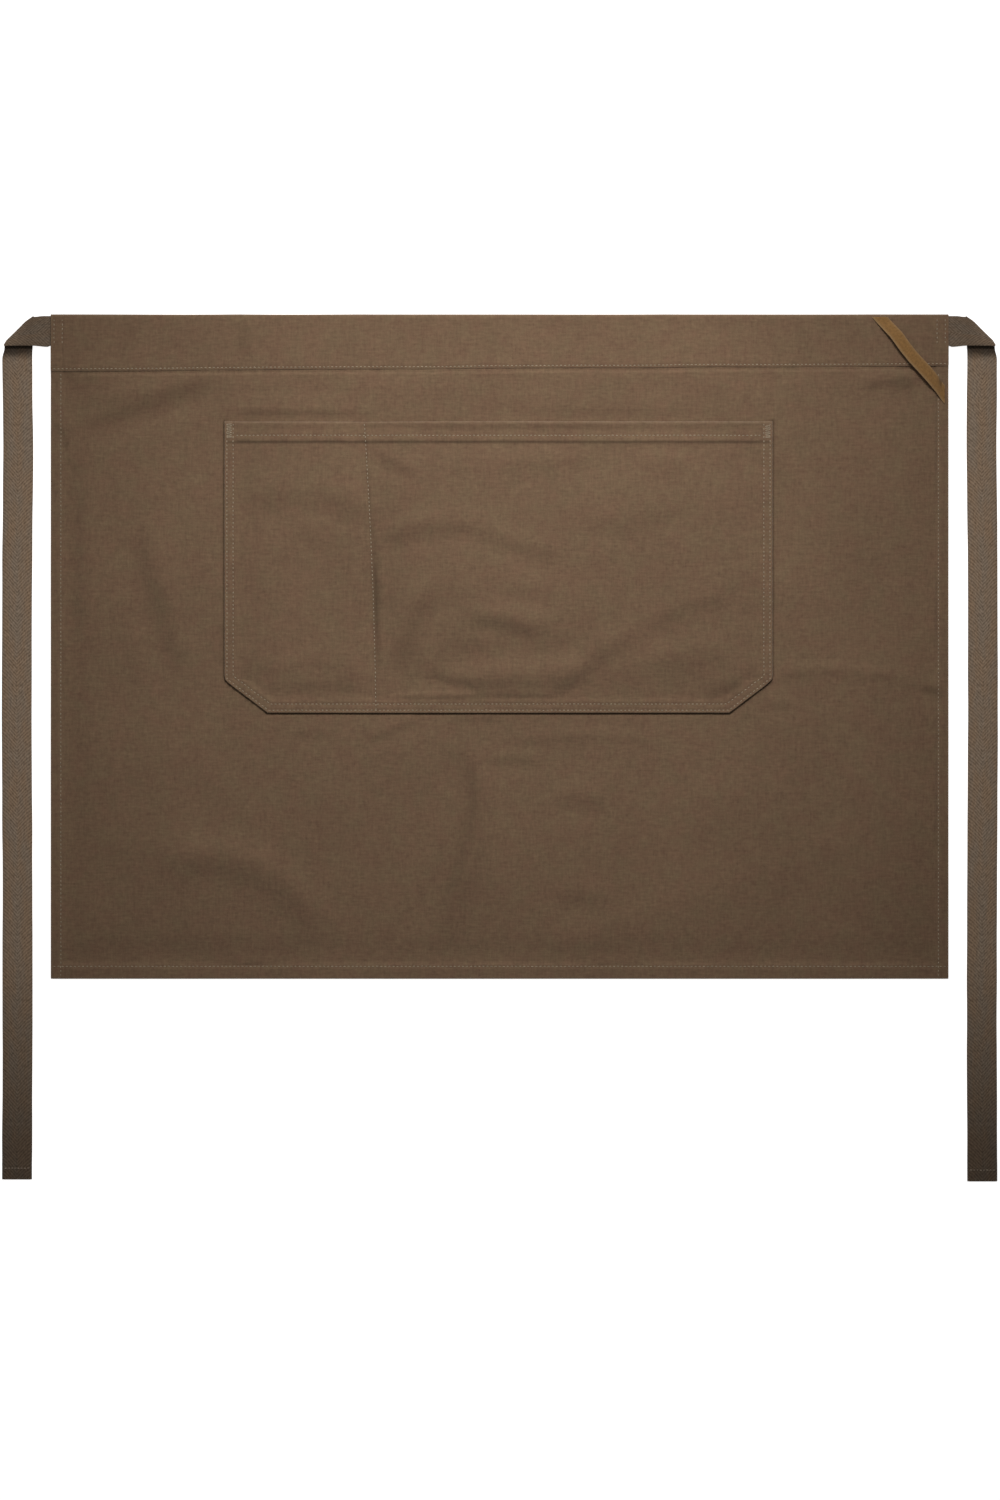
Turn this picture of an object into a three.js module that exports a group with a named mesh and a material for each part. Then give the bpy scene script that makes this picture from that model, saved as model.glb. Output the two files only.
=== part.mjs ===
// A waist apron of heavy cotton canvas, laid out flat with its front face up.
// Millimetres. +X runs to the right across the front, +Y up towards the waistband, and +Z out of
// the front face. Z = 0 is the surface that the apron lies on, and the origin is the middle of the
// whole outline, ties included.
import * as THREE from 'three';

// The apron's body
const APRON_WIDTH = 770;
const APRON_LENGTH = 570;
const OVERALL_LENGTH = 744;       // from the waistband's top edge to the end of the longer tie
const CLOTH = 1.0;                // wall of one layer of canvas
const GAP = 0.3;                  // room left between two pieces that touch
const EDGE_ROUND = 1.0;           // how far in a folded edge reaches its full height
const EDGE_DROP = 0.4;            // how much of the height is lost at that rounded edge, each side

// Hems of the body, turned to the back and sewn
const SIDE_HEM = 10;
const BOTTOM_HEM = 12;
const HEM_STACK = 2.2;            // height of the turned cloth
const HEM_STEP = 0.5;             // width of the step under the hem's inner edge
const HEM_FALL = 38;              // how far in from the hem the cloth comes down to the surface

// The waistband, folded over the top edge. Its lower edge runs slightly uphill to the right.
const BAND_DEPTH_LEFT = 49;
const BAND_DEPTH_RIGHT = 44.5;
const BAND_SEAM = 12;             // how far the body reaches up inside the band
const BAND_FALL = 30;             // how far below the band the cloth comes down to the surface
const BAND_SECTIONS = 12;

// Folds of the body
const FOLD_RISE = 4;
const FOLD_BREADTH = 20;
const FOLD_CLEAR = 14;            // room in which a fold dies out beside a seam

// The patch pocket, with a narrow pen pocket on its left
const POCKET_WIDTH = 470;
const POCKET_HEIGHT = 250;
const POCKET_FROM_LEFT = 149;     // from the body's left edge to the pocket's
const POCKET_FROM_TOP = 92;       // from the waistband's top edge to the pocket's mouth
const POCKET_CORNER_ACROSS = 37;  // the cut corner, along the bottom
const POCKET_CORNER_UP = 28;      // the cut corner, up the side
const POCKET_RIM = 10;            // turned-in edge, held by two rows of stitches
const POCKET_HEM = 17;            // turned-down hem along the mouth
const POCKET_RISE = 7.0;          // how far the slack cloth stands off the body
const PEN_RISE = 6.0;
const MOUTH_RISE = 5.6;           // how far the mouth stands open
const SLACK_EDGE = 34;            // how far in from a seam the cloth reaches that height
const PEN_AT_MOUTH = 120;         // from the pocket's left edge to the dividing seam, at the mouth
const PEN_AT_FOOT = 130;          // and at the pocket's foot
const DIVIDER_HALF = 3;           // half the flat width along the dividing seam
const CREASE_DEPTH = 2;
const CREASE_BREADTH = 20;

// The ties, of herringbone tape
const TIE_WIDTH = 25;
const TIE_THICKNESS = 1.0;
const TIE_GAP = 16.5;             // from the body's side edge to the hanging tie
const TIE_INSET = 1.8;            // from the waistband's top edge down to the tie's upper edge
const TIE_SEWN_IN = 12;           // length of tie caught inside the waistband
const TIE_END_HEM = 12;
const TIE_END_RAMP = 14;
const LEFT_TIE_SHORTER = 1.7;
const FOLD_STEPS = 6;

// The hanging loop, a narrow tape across the top right corner
const LOOP_WIDTH = 10;
const LOOP_THICKNESS = 1.0;
const LOOP_RISE = 6.4;
const LOOP_TOP_FROM_RIGHT = 59;   // from the body's right edge to the middle of the loop's top end
const LOOP_TOP_FROM_TOP = 2.8;
const LOOP_SIDE_FROM_TOP = 69;    // from the waistband's top edge to the middle of its side end
const LOOP_SIDE_FROM_RIGHT = 3.6;

// Colours
const CANVAS_BROWN = 0x715a45;
const TAPE_GREY_BROWN = 0x64564a;
const LOOP_TAN = 0x7b5d39;

// Places that follow from the sizes
const TOP_Y = OVERALL_LENGTH / 2;
const BOTTOM_Y = TOP_Y - APRON_LENGTH;
const HALF_WIDTH = APRON_WIDTH / 2;
const HEM_LIFT = HEM_STACK - CLOTH;
const LAYER_INSIDE = Math.max(CLOTH, TIE_THICKNESS);
const BAND_SLOT = LAYER_INSIDE + 2 * GAP;
const BAND_STACK = 2 * CLOTH + BAND_SLOT;
const SEWN_Z = CLOTH + GAP;
const POCKET_LEFT = -HALF_WIDTH + POCKET_FROM_LEFT;
const POCKET_RIGHT = POCKET_LEFT + POCKET_WIDTH;
const POCKET_TOP = TOP_Y - POCKET_FROM_TOP;
const POCKET_BOTTOM = POCKET_TOP - POCKET_HEIGHT;

// Long soft folds of the body. across and down are the fold's middle, as shares of the apron's
// width from the left and of its length from the top. run is its length as a share of the width,
// turn its direction in degrees, breadth and rise shares of FOLD_BREADTH and FOLD_RISE.
const BODY_FOLDS = [
  { across: 0.105, down: 0.138, run: 0.200, turn: 19, breadth: 0.8, rise: 0.75 },
  { across: 0.268, down: 0.137, run: 0.220, turn: 1, breadth: 0.8, rise: 0.55 },
  { across: 0.600, down: 0.130, run: 0.320, turn: -1, breadth: 0.8, rise: 0.35 },
  { across: 0.032, down: 0.370, run: 0.240, turn: -89, breadth: 0.7, rise: 0.35 },
  { across: 0.120, down: 0.430, run: 0.220, turn: -73, breadth: 1.0, rise: 0.50 },
  { across: 0.820, down: 0.310, run: 0.170, turn: 88, breadth: 0.8, rise: 0.40 },
  { across: 0.968, down: 0.430, run: 0.130, turn: 89, breadth: 0.7, rise: 0.35 },
  { across: 0.935, down: 0.105, run: 0.090, turn: 8, breadth: 0.6, rise: 0.40 },
  { across: 0.885, down: 0.540, run: 0.220, turn: -2, breadth: 0.8, rise: 0.55 },
  { across: 0.455, down: 0.790, run: 0.260, turn: 78, breadth: 0.9, rise: 0.70 },
  { across: 0.365, down: 0.635, run: 0.140, turn: 18, breadth: 0.7, rise: 0.45 },
  { across: 0.590, down: 0.645, run: 0.240, turn: -1, breadth: 0.8, rise: 0.45 },
  { across: 0.170, down: 0.825, run: 0.180, turn: 3, breadth: 1.0, rise: 0.60 },
  { across: 0.275, down: 0.890, run: 0.170, turn: -50, breadth: 1.1, rise: 0.75 },
  { across: 0.590, down: 0.735, run: 0.080, turn: -3, breadth: 0.8, rise: 0.30 },
  { across: 0.590, down: 0.885, run: 0.090, turn: -2, breadth: 0.8, rise: 0.30 },
  { across: 0.070, down: 0.700, run: 0.180, turn: -86, breadth: 1.0, rise: 0.35 },
  { across: 0.790, down: 0.840, run: 0.300, turn: 26, breadth: 1.1, rise: 0.35 },
];

// Creases of the pocket's slack cloth, in the same words. across and down are shares of the
// pocket's width and height, run of its width, and a crease with a depth below zero is a ridge.
const POCKET_CREASES = [
  { across: 0.155, down: 0.270, run: 0.240, turn: -8, breadth: 0.7, depth: 0.4 },
  { across: 0.310, down: 0.135, run: 0.140, turn: -31, breadth: 0.6, depth: 0.6 },
  { across: 0.360, down: 0.385, run: 0.240, turn: 10, breadth: 0.7, depth: 0.9 },
  { across: 0.530, down: 0.435, run: 0.210, turn: -18, breadth: 0.7, depth: 0.9 },
  { across: 0.440, down: 0.520, run: 0.260, turn: -8, breadth: 0.9, depth: -0.5 },
  { across: 0.340, down: 0.680, run: 0.240, turn: 62, breadth: 0.9, depth: 0.5 },
  { across: 0.510, down: 0.705, run: 0.180, turn: -13, breadth: 0.7, depth: 0.8 },
  { across: 0.530, down: 0.830, run: 0.280, turn: 1, breadth: 0.7, depth: -0.3 },
  { across: 0.765, down: 0.750, run: 0.400, turn: 29, breadth: 0.9, depth: 1.0 },
  { across: 0.743, down: 0.355, run: 0.260, turn: 11, breadth: 0.8, depth: 0.4 },
  { across: 0.800, down: 0.560, run: 0.300, turn: 30, breadth: 1.2, depth: -0.5 },
  { across: 0.090, down: 0.560, run: 0.300, turn: 84, breadth: 0.8, depth: -0.3 },
];

// How the hanging ties wander sideways: down is a share of the drop, and left and right are how
// far each tie comes in towards the body, as a share of its width.
const TIE_SWAY = [
  { down: 0.12, left: 0.05, right: 0.03 },
  { down: 0.25, left: 0.01, right: -0.01 },
  { down: 0.45, left: -0.01, right: -0.02 },
  { down: 0.65, left: 0.02, right: 0.01 },
  { down: 0.85, left: 0.02, right: 0.02 },
];

// The loop's arch: along is a share of its length, rise of LOOP_RISE, bow of its width sideways.
const LOOP_ARCH = [
  { along: 0.00, rise: 0.00, bow: 0.00 },
  { along: 0.05, rise: 0.06, bow: 0.00 },
  { along: 0.13, rise: 0.46, bow: 0.02 },
  { along: 0.24, rise: 0.82, bow: 0.06 },
  { along: 0.37, rise: 0.97, bow: -0.04 },
  { along: 0.50, rise: 1.00, bow: -0.08 },
  { along: 0.63, rise: 0.97, bow: -0.02 },
  { along: 0.76, rise: 0.82, bow: 0.04 },
  { along: 0.87, rise: 0.46, bow: 0.06 },
  { along: 0.95, rise: 0.06, bow: 0.02 },
  { along: 1.00, rise: 0.00, bow: 0.00 },
];

const mix = (a, b, t) => a + (b - a) * t;
const clamp01 = (t) => Math.min(1, Math.max(0, t));
const smooth = (t) => clamp01(t) ** 2 * (3 - 2 * clamp01(t));
const fall = (t) => (1 - clamp01(t)) ** 2;

// Evenly spaced values from a to b, without b.
function spaced(a, b, count) {
  return Array.from({ length: count }, (_, i) => mix(a, b, i / count));
}

// A closed mesh from vertices and triangles, with its faces turned outwards.
function closedMesh(points, triangles) {
  const volume = triangles.reduce((sum, [a, b, c]) => {
    const cross = new THREE.Vector3().crossVectors(points[b], points[c]);
    return sum + points[a].dot(cross);
  }, 0);
  const outward = volume > 0 ? triangles : triangles.map(([a, b, c]) => [a, c, b]);
  const geometry = new THREE.BufferGeometry();
  geometry.setAttribute('position', new THREE.Float32BufferAttribute(points.flatMap((p) => p.toArray()), 3));
  geometry.setIndex(outward.flat());
  geometry.computeVertexNormals();
  return geometry;
}

// A sheet of cloth with a wall: station(i, j) gives x, y and the two faces' heights.
function sheetSolid(columns, rows, station) {
  const points = [];
  for (let j = 0; j < rows; j += 1) {
    for (let i = 0; i < columns; i += 1) {
      const { x, y, top, bottom } = station(i, j);
      points.push(new THREE.Vector3(x, y, top), new THREE.Vector3(x, y, bottom));
    }
  }
  const above = (i, j) => 2 * (j * columns + i);
  const below = (i, j) => above(i, j) + 1;
  const triangles = [];
  for (let j = 0; j < rows - 1; j += 1) {
    for (let i = 0; i < columns - 1; i += 1) {
      triangles.push([above(i, j), above(i + 1, j), above(i + 1, j + 1)]);
      triangles.push([above(i, j), above(i + 1, j + 1), above(i, j + 1)]);
      triangles.push([below(i, j), below(i + 1, j + 1), below(i + 1, j)]);
      triangles.push([below(i, j), below(i, j + 1), below(i + 1, j + 1)]);
    }
  }
  const border = [];
  for (let i = 0; i < columns - 1; i += 1) border.push([i, 0]);
  for (let j = 0; j < rows - 1; j += 1) border.push([columns - 1, j]);
  for (let i = columns - 1; i > 0; i -= 1) border.push([i, rows - 1]);
  for (let j = rows - 1; j > 0; j -= 1) border.push([0, j]);
  border.forEach((here, k) => {
    const next = border[(k + 1) % border.length];
    triangles.push([below(...here), below(...next), above(...next)]);
    triangles.push([below(...here), above(...next), above(...here)]);
  });
  return closedMesh(points, triangles);
}

// A solid lofted through sections of equally many points, with flat ends. flatten gives a
// point's place in the plane of the end sections.
function loftSolid(sections, flatten) {
  const count = sections[0].length;
  const points = sections.flat();
  const triangles = [];
  for (let s = 0; s < sections.length - 1; s += 1) {
    for (let k = 0; k < count; k += 1) {
      const here = s * count + k;
      const next = s * count + (k + 1) % count;
      triangles.push([here, next, next + count], [here, next + count, here + count]);
    }
  }
  const last = (sections.length - 1) * count;
  const outline = sections[0].map(flatten);
  const turn = THREE.ShapeUtils.isClockWise(outline) ? -1 : 1;
  THREE.ShapeUtils.triangulateShape(outline, []).forEach(([a, b, c]) => {
    const cap = turn > 0 ? [a, c, b] : [a, b, c];
    triangles.push(cap);
    triangles.push([last + cap[0], last + cap[2], last + cap[1]]);
  });
  return closedMesh(points, triangles);
}

// One row of a fold table at a place, from 0 beside it to 1 along its middle.
function foldShape(fold, breadth, run, x, y) {
  const angle = THREE.MathUtils.degToRad(fold.turn);
  const along = x * Math.cos(angle) + y * Math.sin(angle);
  const beside = y * Math.cos(angle) - x * Math.sin(angle);
  const ends = clamp01(1 - (2 * along / run) ** 2) ** 2;
  return ends * Math.exp(-((beside / breadth) ** 2));
}

// The waistband's lower edge.
function bandEdge(x) {
  return TOP_Y - mix(BAND_DEPTH_LEFT, BAND_DEPTH_RIGHT, (x + HALF_WIDTH) / APRON_WIDTH);
}

// How far a place is inside the hems' inner edges. Below zero it is in a hem.
function insideHems(x, y) {
  return Math.min(HALF_WIDTH - Math.abs(x) - SIDE_HEM, y - BOTTOM_Y - BOTTOM_HEM);
}

function pocketDistance(x, y) {
  const across = Math.max(POCKET_LEFT - x, x - POCKET_RIGHT, 0);
  const up = Math.max(POCKET_BOTTOM - y, y - POCKET_TOP, 0);
  return Math.hypot(across, up);
}

// Rise of the body's folds, which die out at the hems, the waistband and the pocket.
function bodyFolds(x, y) {
  const room = Math.min(insideHems(x, y), bandEdge(x) - y, pocketDistance(x, y));
  const rise = BODY_FOLDS.reduce((sum, fold) => {
    const fromX = x + HALF_WIDTH - fold.across * APRON_WIDTH;
    const fromY = y - TOP_Y + fold.down * APRON_LENGTH;
    const shape = foldShape(fold, fold.breadth * FOLD_BREADTH, fold.run * APRON_WIDTH, fromX, fromY);
    return sum + fold.rise * FOLD_RISE * shape;
  }, 0);
  return rise * smooth(room / FOLD_CLEAR);
}

// The two faces of the body's cloth at a place.
function bodyFaces(x, y) {
  const belowBand = bandEdge(x) - y;
  if (belowBand <= 0) return { top: SEWN_Z + CLOTH, bottom: SEWN_Z };
  const inside = insideHems(x, y);
  if (inside <= 0) {
    const bottom = SEWN_Z * fall(belowBand / SIDE_HEM);
    return { top: mix(HEM_STACK, SEWN_Z + CLOTH, fall(belowBand / SIDE_HEM)), bottom };
  }
  const lift = Math.max(HEM_LIFT * fall(inside / HEM_FALL), SEWN_Z * fall(belowBand / BAND_FALL));
  const bottom = lift + bodyFolds(x, y);
  return { top: bottom + CLOTH, bottom };
}

function bodyPanel() {
  const fromEdge = [0, EDGE_ROUND, SIDE_HEM, SIDE_HEM + HEM_STEP, SIDE_HEM + HEM_FALL / 3];
  const leftHem = fromEdge.map((d) => -HALF_WIDTH + d);
  const rightHem = fromEdge.map((d) => HALF_WIDTH - d).reverse();
  const columns = [
    ...leftHem,
    ...spaced(-HALF_WIDTH + SIDE_HEM + HEM_FALL, POCKET_LEFT, 6),
    ...spaced(POCKET_LEFT, POCKET_RIGHT, 23),
    ...spaced(POCKET_RIGHT, HALF_WIDTH - SIDE_HEM - HEM_FALL, 6),
    HALF_WIDTH - SIDE_HEM - HEM_FALL,
    ...rightHem,
  ];
  const lowField = BOTTOM_Y + BOTTOM_HEM + HEM_FALL;
  const fromBottom = [0, EDGE_ROUND, BOTTOM_HEM, BOTTOM_HEM + HEM_STEP, BOTTOM_HEM + HEM_FALL / 3];
  const fixedRows = [
    ...fromBottom.map((d) => BOTTOM_Y + d),
    ...spaced(lowField, POCKET_BOTTOM, 10),
    ...spaced(POCKET_BOTTOM, POCKET_TOP, 8),
    POCKET_TOP,
  ];
  // The last rows follow the waistband's slanting edge.
  const bandRows = [BAND_FALL / 2, SIDE_HEM, SIDE_HEM / 2, 0, -BAND_SEAM];
  const rows = fixedRows.length + bandRows.length;
  return sheetSolid(columns.length, rows, (i, j) => {
    const x = columns[i];
    const y = j < fixedRows.length ? fixedRows[j] : bandEdge(x) - bandRows[j - fixedRows.length];
    const { top, bottom } = bodyFaces(x, y);
    const atEdge = i === 0 || i === columns.length - 1 || j === 0;
    const round = atEdge && bandEdge(x) - y > SIDE_HEM ? EDGE_DROP : 0;
    return { x, y, top: top - round, bottom: bottom + round };
  });
}

// The waistband: one strip folded over the top, open along its lower edge and at its two ends.
function waistband() {
  const outerRadius = BAND_STACK / 2;
  const innerRadius = BAND_SLOT / 2;
  const foldY = TOP_Y - outerRadius;
  const arc = (radius, k) => {
    const angle = Math.PI * (k / FOLD_STEPS - 0.5);
    return [foldY + radius * Math.cos(angle), outerRadius + radius * Math.sin(angle)];
  };
  const turns = Array.from({ length: FOLD_STEPS + 1 }, (_, k) => k);
  const sections = Array.from({ length: BAND_SECTIONS + 1 }, (_, s) => {
    const x = mix(-HALF_WIDTH, HALF_WIDTH, s / BAND_SECTIONS);
    const edge = bandEdge(x);
    const profile = [
      [edge, EDGE_DROP],
      [edge + EDGE_ROUND, 0],
      ...turns.map((k) => arc(outerRadius, k)),
      [edge + EDGE_ROUND, BAND_STACK],
      [edge, BAND_STACK - EDGE_DROP],
      [edge, BAND_STACK - CLOTH],
      ...turns.map((k) => arc(innerRadius, FOLD_STEPS - k)),
      [edge, CLOTH],
    ];
    return profile.map(([y, z]) => new THREE.Vector3(x, y, z));
  });
  return loftSolid(sections, (p) => new THREE.Vector2(p.y, p.z));
}

// The pocket's outline at a height: its left and right edges, and how much a slanting edge
// widens what is measured across it.
function pocketSides(y) {
  const cut = clamp01(1 - (y - POCKET_BOTTOM) / POCKET_CORNER_UP) * POCKET_CORNER_ACROSS;
  const slant = Math.hypot(POCKET_CORNER_ACROSS, POCKET_CORNER_UP) / POCKET_CORNER_UP;
  const stretch = y < POCKET_BOTTOM + POCKET_CORNER_UP ? slant : 1;
  return { left: POCKET_LEFT + cut, right: POCKET_RIGHT - cut, stretch };
}

function dividerX(y) {
  return POCKET_LEFT + mix(PEN_AT_FOOT, PEN_AT_MOUTH, (y - POCKET_BOTTOM) / POCKET_HEIGHT);
}

// Distance in from the pocket's sewn edges, and from its dividing seam.
function pocketInside(x, y) {
  const { left, right, stretch } = pocketSides(y);
  const side = Math.min(x - left, right - x) / stretch;
  const sewn = Math.min(side, y - POCKET_BOTTOM) - POCKET_RIM;
  return { sewn, divider: Math.abs(x - dividerX(y)) - DIVIDER_HALF };
}

// How far the pocket's slack cloth stands off the body.
function pocketStand(x, y) {
  const { sewn, divider } = pocketInside(x, y);
  if (sewn <= 0 || divider <= 0) return 0;
  const rise = x < dividerX(y) ? PEN_RISE : POCKET_RISE;
  const nearMouth = smooth((y - POCKET_TOP + 2 * SLACK_EDGE) / (2 * SLACK_EDGE));
  const height = mix(rise, Math.min(rise, MOUTH_RISE), nearMouth);
  const share = smooth(sewn / SLACK_EDGE + 0.12) * smooth(divider / SLACK_EDGE + 0.12);
  const dip = POCKET_CREASES.reduce((sum, crease) => {
    const fromX = x - POCKET_LEFT - crease.across * POCKET_WIDTH;
    const fromY = y - POCKET_TOP + crease.down * POCKET_HEIGHT;
    const breadth = crease.breadth * CREASE_BREADTH;
    const shape = foldShape(crease, breadth, crease.run * POCKET_WIDTH, fromX, fromY);
    return sum + crease.depth * CREASE_DEPTH * shape;
  }, 0);
  return Math.max(0, (height - dip) * share);
}

function pocket() {
  const rimSteps = [0, EDGE_ROUND, POCKET_RIM, POCKET_RIM + HEM_STEP];
  const penShares = [0.16, 0.34, 0.5, 0.66, 0.84];
  const mainShares = [0.05, 0.13, 0.22, 0.31, 0.4, 0.49, 0.58, 0.67, 0.76, 0.85, 0.93];
  const dividerSteps = [-DIVIDER_HALF, DIVIDER_HALF];
  const columnsAt = (y) => {
    const { left, right, stretch } = pocketSides(y);
    const seam = dividerX(y);
    const steps = rimSteps.map((d) => d * stretch);
    const inset = steps[steps.length - 1];
    return [
      ...steps.map((d) => left + d),
      ...penShares.map((t) => mix(left + inset, seam - DIVIDER_HALF, t)),
      ...dividerSteps.map((d) => seam + d),
      ...mainShares.map((t) => mix(seam + DIVIDER_HALF, right - inset, t)),
      ...steps.map((d) => right - d).reverse(),
    ];
  };
  const hemFoot = POCKET_TOP - POCKET_HEM;
  const rows = [
    ...rimSteps.map((d) => POCKET_BOTTOM + d),
    POCKET_BOTTOM + mix(POCKET_RIM, POCKET_CORNER_UP, 0.5),
    ...spaced(POCKET_BOTTOM + POCKET_CORNER_UP, hemFoot - HEM_STEP, 9),
    hemFoot - HEM_STEP,
    hemFoot,
    POCKET_TOP - EDGE_ROUND,
    POCKET_TOP,
  ];
  const columnCount = columnsAt(POCKET_TOP).length;
  return sheetSolid(columnCount, rows.length, (i, j) => {
    const y = rows[j];
    const x = columnsAt(y)[i];
    const base = bodyFaces(x, y).top + GAP + pocketStand(x, y);
    const doubled = i < 3 || i > columnCount - 4 || j < 3 || y >= hemFoot;
    // Beside the doubled edges the single layer starts at the height of their upper layer.
    const { sewn } = pocketInside(x, y);
    const upper = CLOTH * Math.max(fall(sewn / SLACK_EDGE), fall((hemFoot - y) / SLACK_EDGE));
    const bottom = doubled ? base : base + upper;
    const top = doubled ? base + 2 * CLOTH : bottom + CLOTH;
    const atEdge = i === 0 || i === columnCount - 1 || j === 0 || j === rows.length - 1;
    const round = atEdge ? EDGE_DROP : 0;
    return { x, y, top: top - round, bottom: bottom + round };
  });
}

// A tie: it leaves the waistband sideways, is folded over at 45 degrees and runs down below it.
// side is -1 at the left and 1 at the right.
function tie(side, endY, swayName) {
  const inner = HALF_WIDTH + TIE_GAP;
  const outer = inner + TIE_WIDTH;
  const stubTop = TOP_Y - TIE_INSET;
  const stubBottom = stubTop - TIE_WIDTH;
  const stubMiddle = SEWN_Z + TIE_THICKNESS / 2;
  const foldZ = (stubMiddle + TIE_THICKNESS / 2) / 2;
  const foldRadius = stubMiddle - foldZ;
  // A section runs from the tie's lower or outer edge to its upper or inner one.
  const section = (xa, ya, xb, yb, front, back) => [
    new THREE.Vector3(side * xa, ya, front),
    new THREE.Vector3(side * xb, yb, front),
    new THREE.Vector3(side * xb, yb, back),
    new THREE.Vector3(side * xa, ya, back),
  ];
  const stubAt = (x) => section(x, stubBottom, x, stubTop, SEWN_Z + TIE_THICKNESS, SEWN_Z);
  const foldAt = (angle) => {
    const corner = (x, y, radius) => {
      const out = radius * Math.sin(angle) * Math.SQRT1_2;
      return new THREE.Vector3(side * (x + out), y + out, foldZ + radius * Math.cos(angle));
    };
    const far = foldRadius + TIE_THICKNESS / 2;
    const near = foldRadius - TIE_THICKNESS / 2;
    return [
      corner(outer, stubBottom, far),
      corner(inner, stubTop, far),
      corner(inner, stubTop, near),
      corner(outer, stubBottom, near),
    ];
  };
  const hangingAt = (y, sway, low, high) => {
    const shift = sway * TIE_WIDTH;
    return section(outer - shift, y, inner - shift, y, low, high);
  };
  const angles = Array.from({ length: FOLD_STEPS + 1 }, (_, k) => Math.PI * k / FOLD_STEPS);
  const drop = stubBottom - endY;
  const hemTop = endY + TIE_END_HEM;
  const stack = 2 * TIE_THICKNESS;
  const sections = [
    stubAt(HALF_WIDTH - TIE_SEWN_IN),
    stubAt(HALF_WIDTH),
    ...angles.map(foldAt),
    hangingAt(stubBottom - TIE_WIDTH / 2, 0, 0, TIE_THICKNESS),
    ...TIE_SWAY.map((row) => hangingAt(stubBottom - row.down * drop, row[swayName], 0, TIE_THICKNESS)),
    hangingAt(hemTop + TIE_END_RAMP, 0, 0, TIE_THICKNESS),
    hangingAt(hemTop + HEM_STEP, 0, TIE_THICKNESS - HEM_STEP / 2, stack - HEM_STEP / 2),
    hangingAt(hemTop, 0, 0, stack),
    hangingAt(endY + EDGE_ROUND, 0, 0, stack),
    hangingAt(endY, 0, EDGE_DROP, stack - EDGE_DROP),
  ];
  return loftSolid(sections, (p) => new THREE.Vector2(p.x + p.y, p.z));
}

// The hanging loop: its ends are cut along the top edge and along the side edge that hold them,
// and between them it stands up as a low arch.
function hangingLoop() {
  const topEnd = new THREE.Vector2(HALF_WIDTH - LOOP_TOP_FROM_RIGHT, TOP_Y - LOOP_TOP_FROM_TOP);
  const sideEnd = new THREE.Vector2(HALF_WIDTH - LOOP_SIDE_FROM_RIGHT, TOP_Y - LOOP_SIDE_FROM_TOP);
  const direction = sideEnd.clone().sub(topEnd).normalize();
  const beside = new THREE.Vector2(-direction.y, direction.x);
  const topHalf = new THREE.Vector2(LOOP_WIDTH / 2 / Math.abs(direction.y), 0);
  const sideHalf = new THREE.Vector2(0, LOOP_WIDTH / 2 / Math.abs(direction.x));
  const topSeat = BAND_STACK + GAP;
  const sideSeat = HEM_STACK + GAP;
  const sections = LOOP_ARCH.map(({ along, rise, bow }) => {
    const middle = topEnd.clone().lerp(sideEnd, along).addScaledVector(beside, bow * LOOP_WIDTH);
    const half = topHalf.clone().lerp(sideHalf, along);
    const low = mix(topSeat, sideSeat, along) + rise * LOOP_RISE;
    const right = middle.clone().add(half);
    const left = middle.clone().sub(half);
    return [
      new THREE.Vector3(left.x, left.y, low),
      new THREE.Vector3(right.x, right.y, low),
      new THREE.Vector3(right.x, right.y, low + LOOP_THICKNESS),
      new THREE.Vector3(left.x, left.y, low + LOOP_THICKNESS),
    ];
  });
  return loftSolid(sections, (p) => new THREE.Vector2(p.x + p.y, p.z));
}

function piece(name, geometry, color, roughness) {
  const material = new THREE.MeshStandardMaterial({ color, roughness, metalness: 0 });
  const mesh = new THREE.Mesh(geometry, material);
  mesh.name = name;
  return mesh;
}

const apron = new THREE.Group();
apron.add(piece('apron_panel', bodyPanel(), CANVAS_BROWN, 0.9));
apron.add(piece('waistband', waistband(), CANVAS_BROWN, 0.9));
apron.add(piece('pocket', pocket(), CANVAS_BROWN, 0.9));
apron.add(piece('tie_left', tie(-1, -TOP_Y + LEFT_TIE_SHORTER, 'left'), TAPE_GREY_BROWN, 0.85));
apron.add(piece('tie_right', tie(1, -TOP_Y, 'right'), TAPE_GREY_BROWN, 0.85));
apron.add(piece('hanging_loop', hangingLoop(), LOOP_TAN, 0.85));

export default apron;
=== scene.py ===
"""A waist apron of heavy cotton canvas, laid flat with its front up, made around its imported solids.

Metres. +X runs to the right across the front, +Y up towards the waistband, +Z out of the front.
"""

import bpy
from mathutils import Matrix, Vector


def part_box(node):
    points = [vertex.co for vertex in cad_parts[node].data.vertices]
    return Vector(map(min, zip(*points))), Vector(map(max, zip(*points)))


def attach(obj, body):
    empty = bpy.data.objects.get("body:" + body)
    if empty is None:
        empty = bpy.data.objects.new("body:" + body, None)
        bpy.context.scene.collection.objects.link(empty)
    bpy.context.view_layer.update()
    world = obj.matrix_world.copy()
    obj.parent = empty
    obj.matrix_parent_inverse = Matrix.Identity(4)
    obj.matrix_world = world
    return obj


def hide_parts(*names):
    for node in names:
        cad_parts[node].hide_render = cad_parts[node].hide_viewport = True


bl_info = {
    "name": "Waist apron",
    "version": (1, 0, 0),
    "blender": (4, 5, 0),
    "location": "View3D > Sidebar > Apron",
    "description": "Makes a canvas waist apron piece by piece, with its tapes, seams and stage",
    "category": "Object",
}

from collections import namedtuple

import bpy
import numpy as np
from mathutils import Vector

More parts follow.
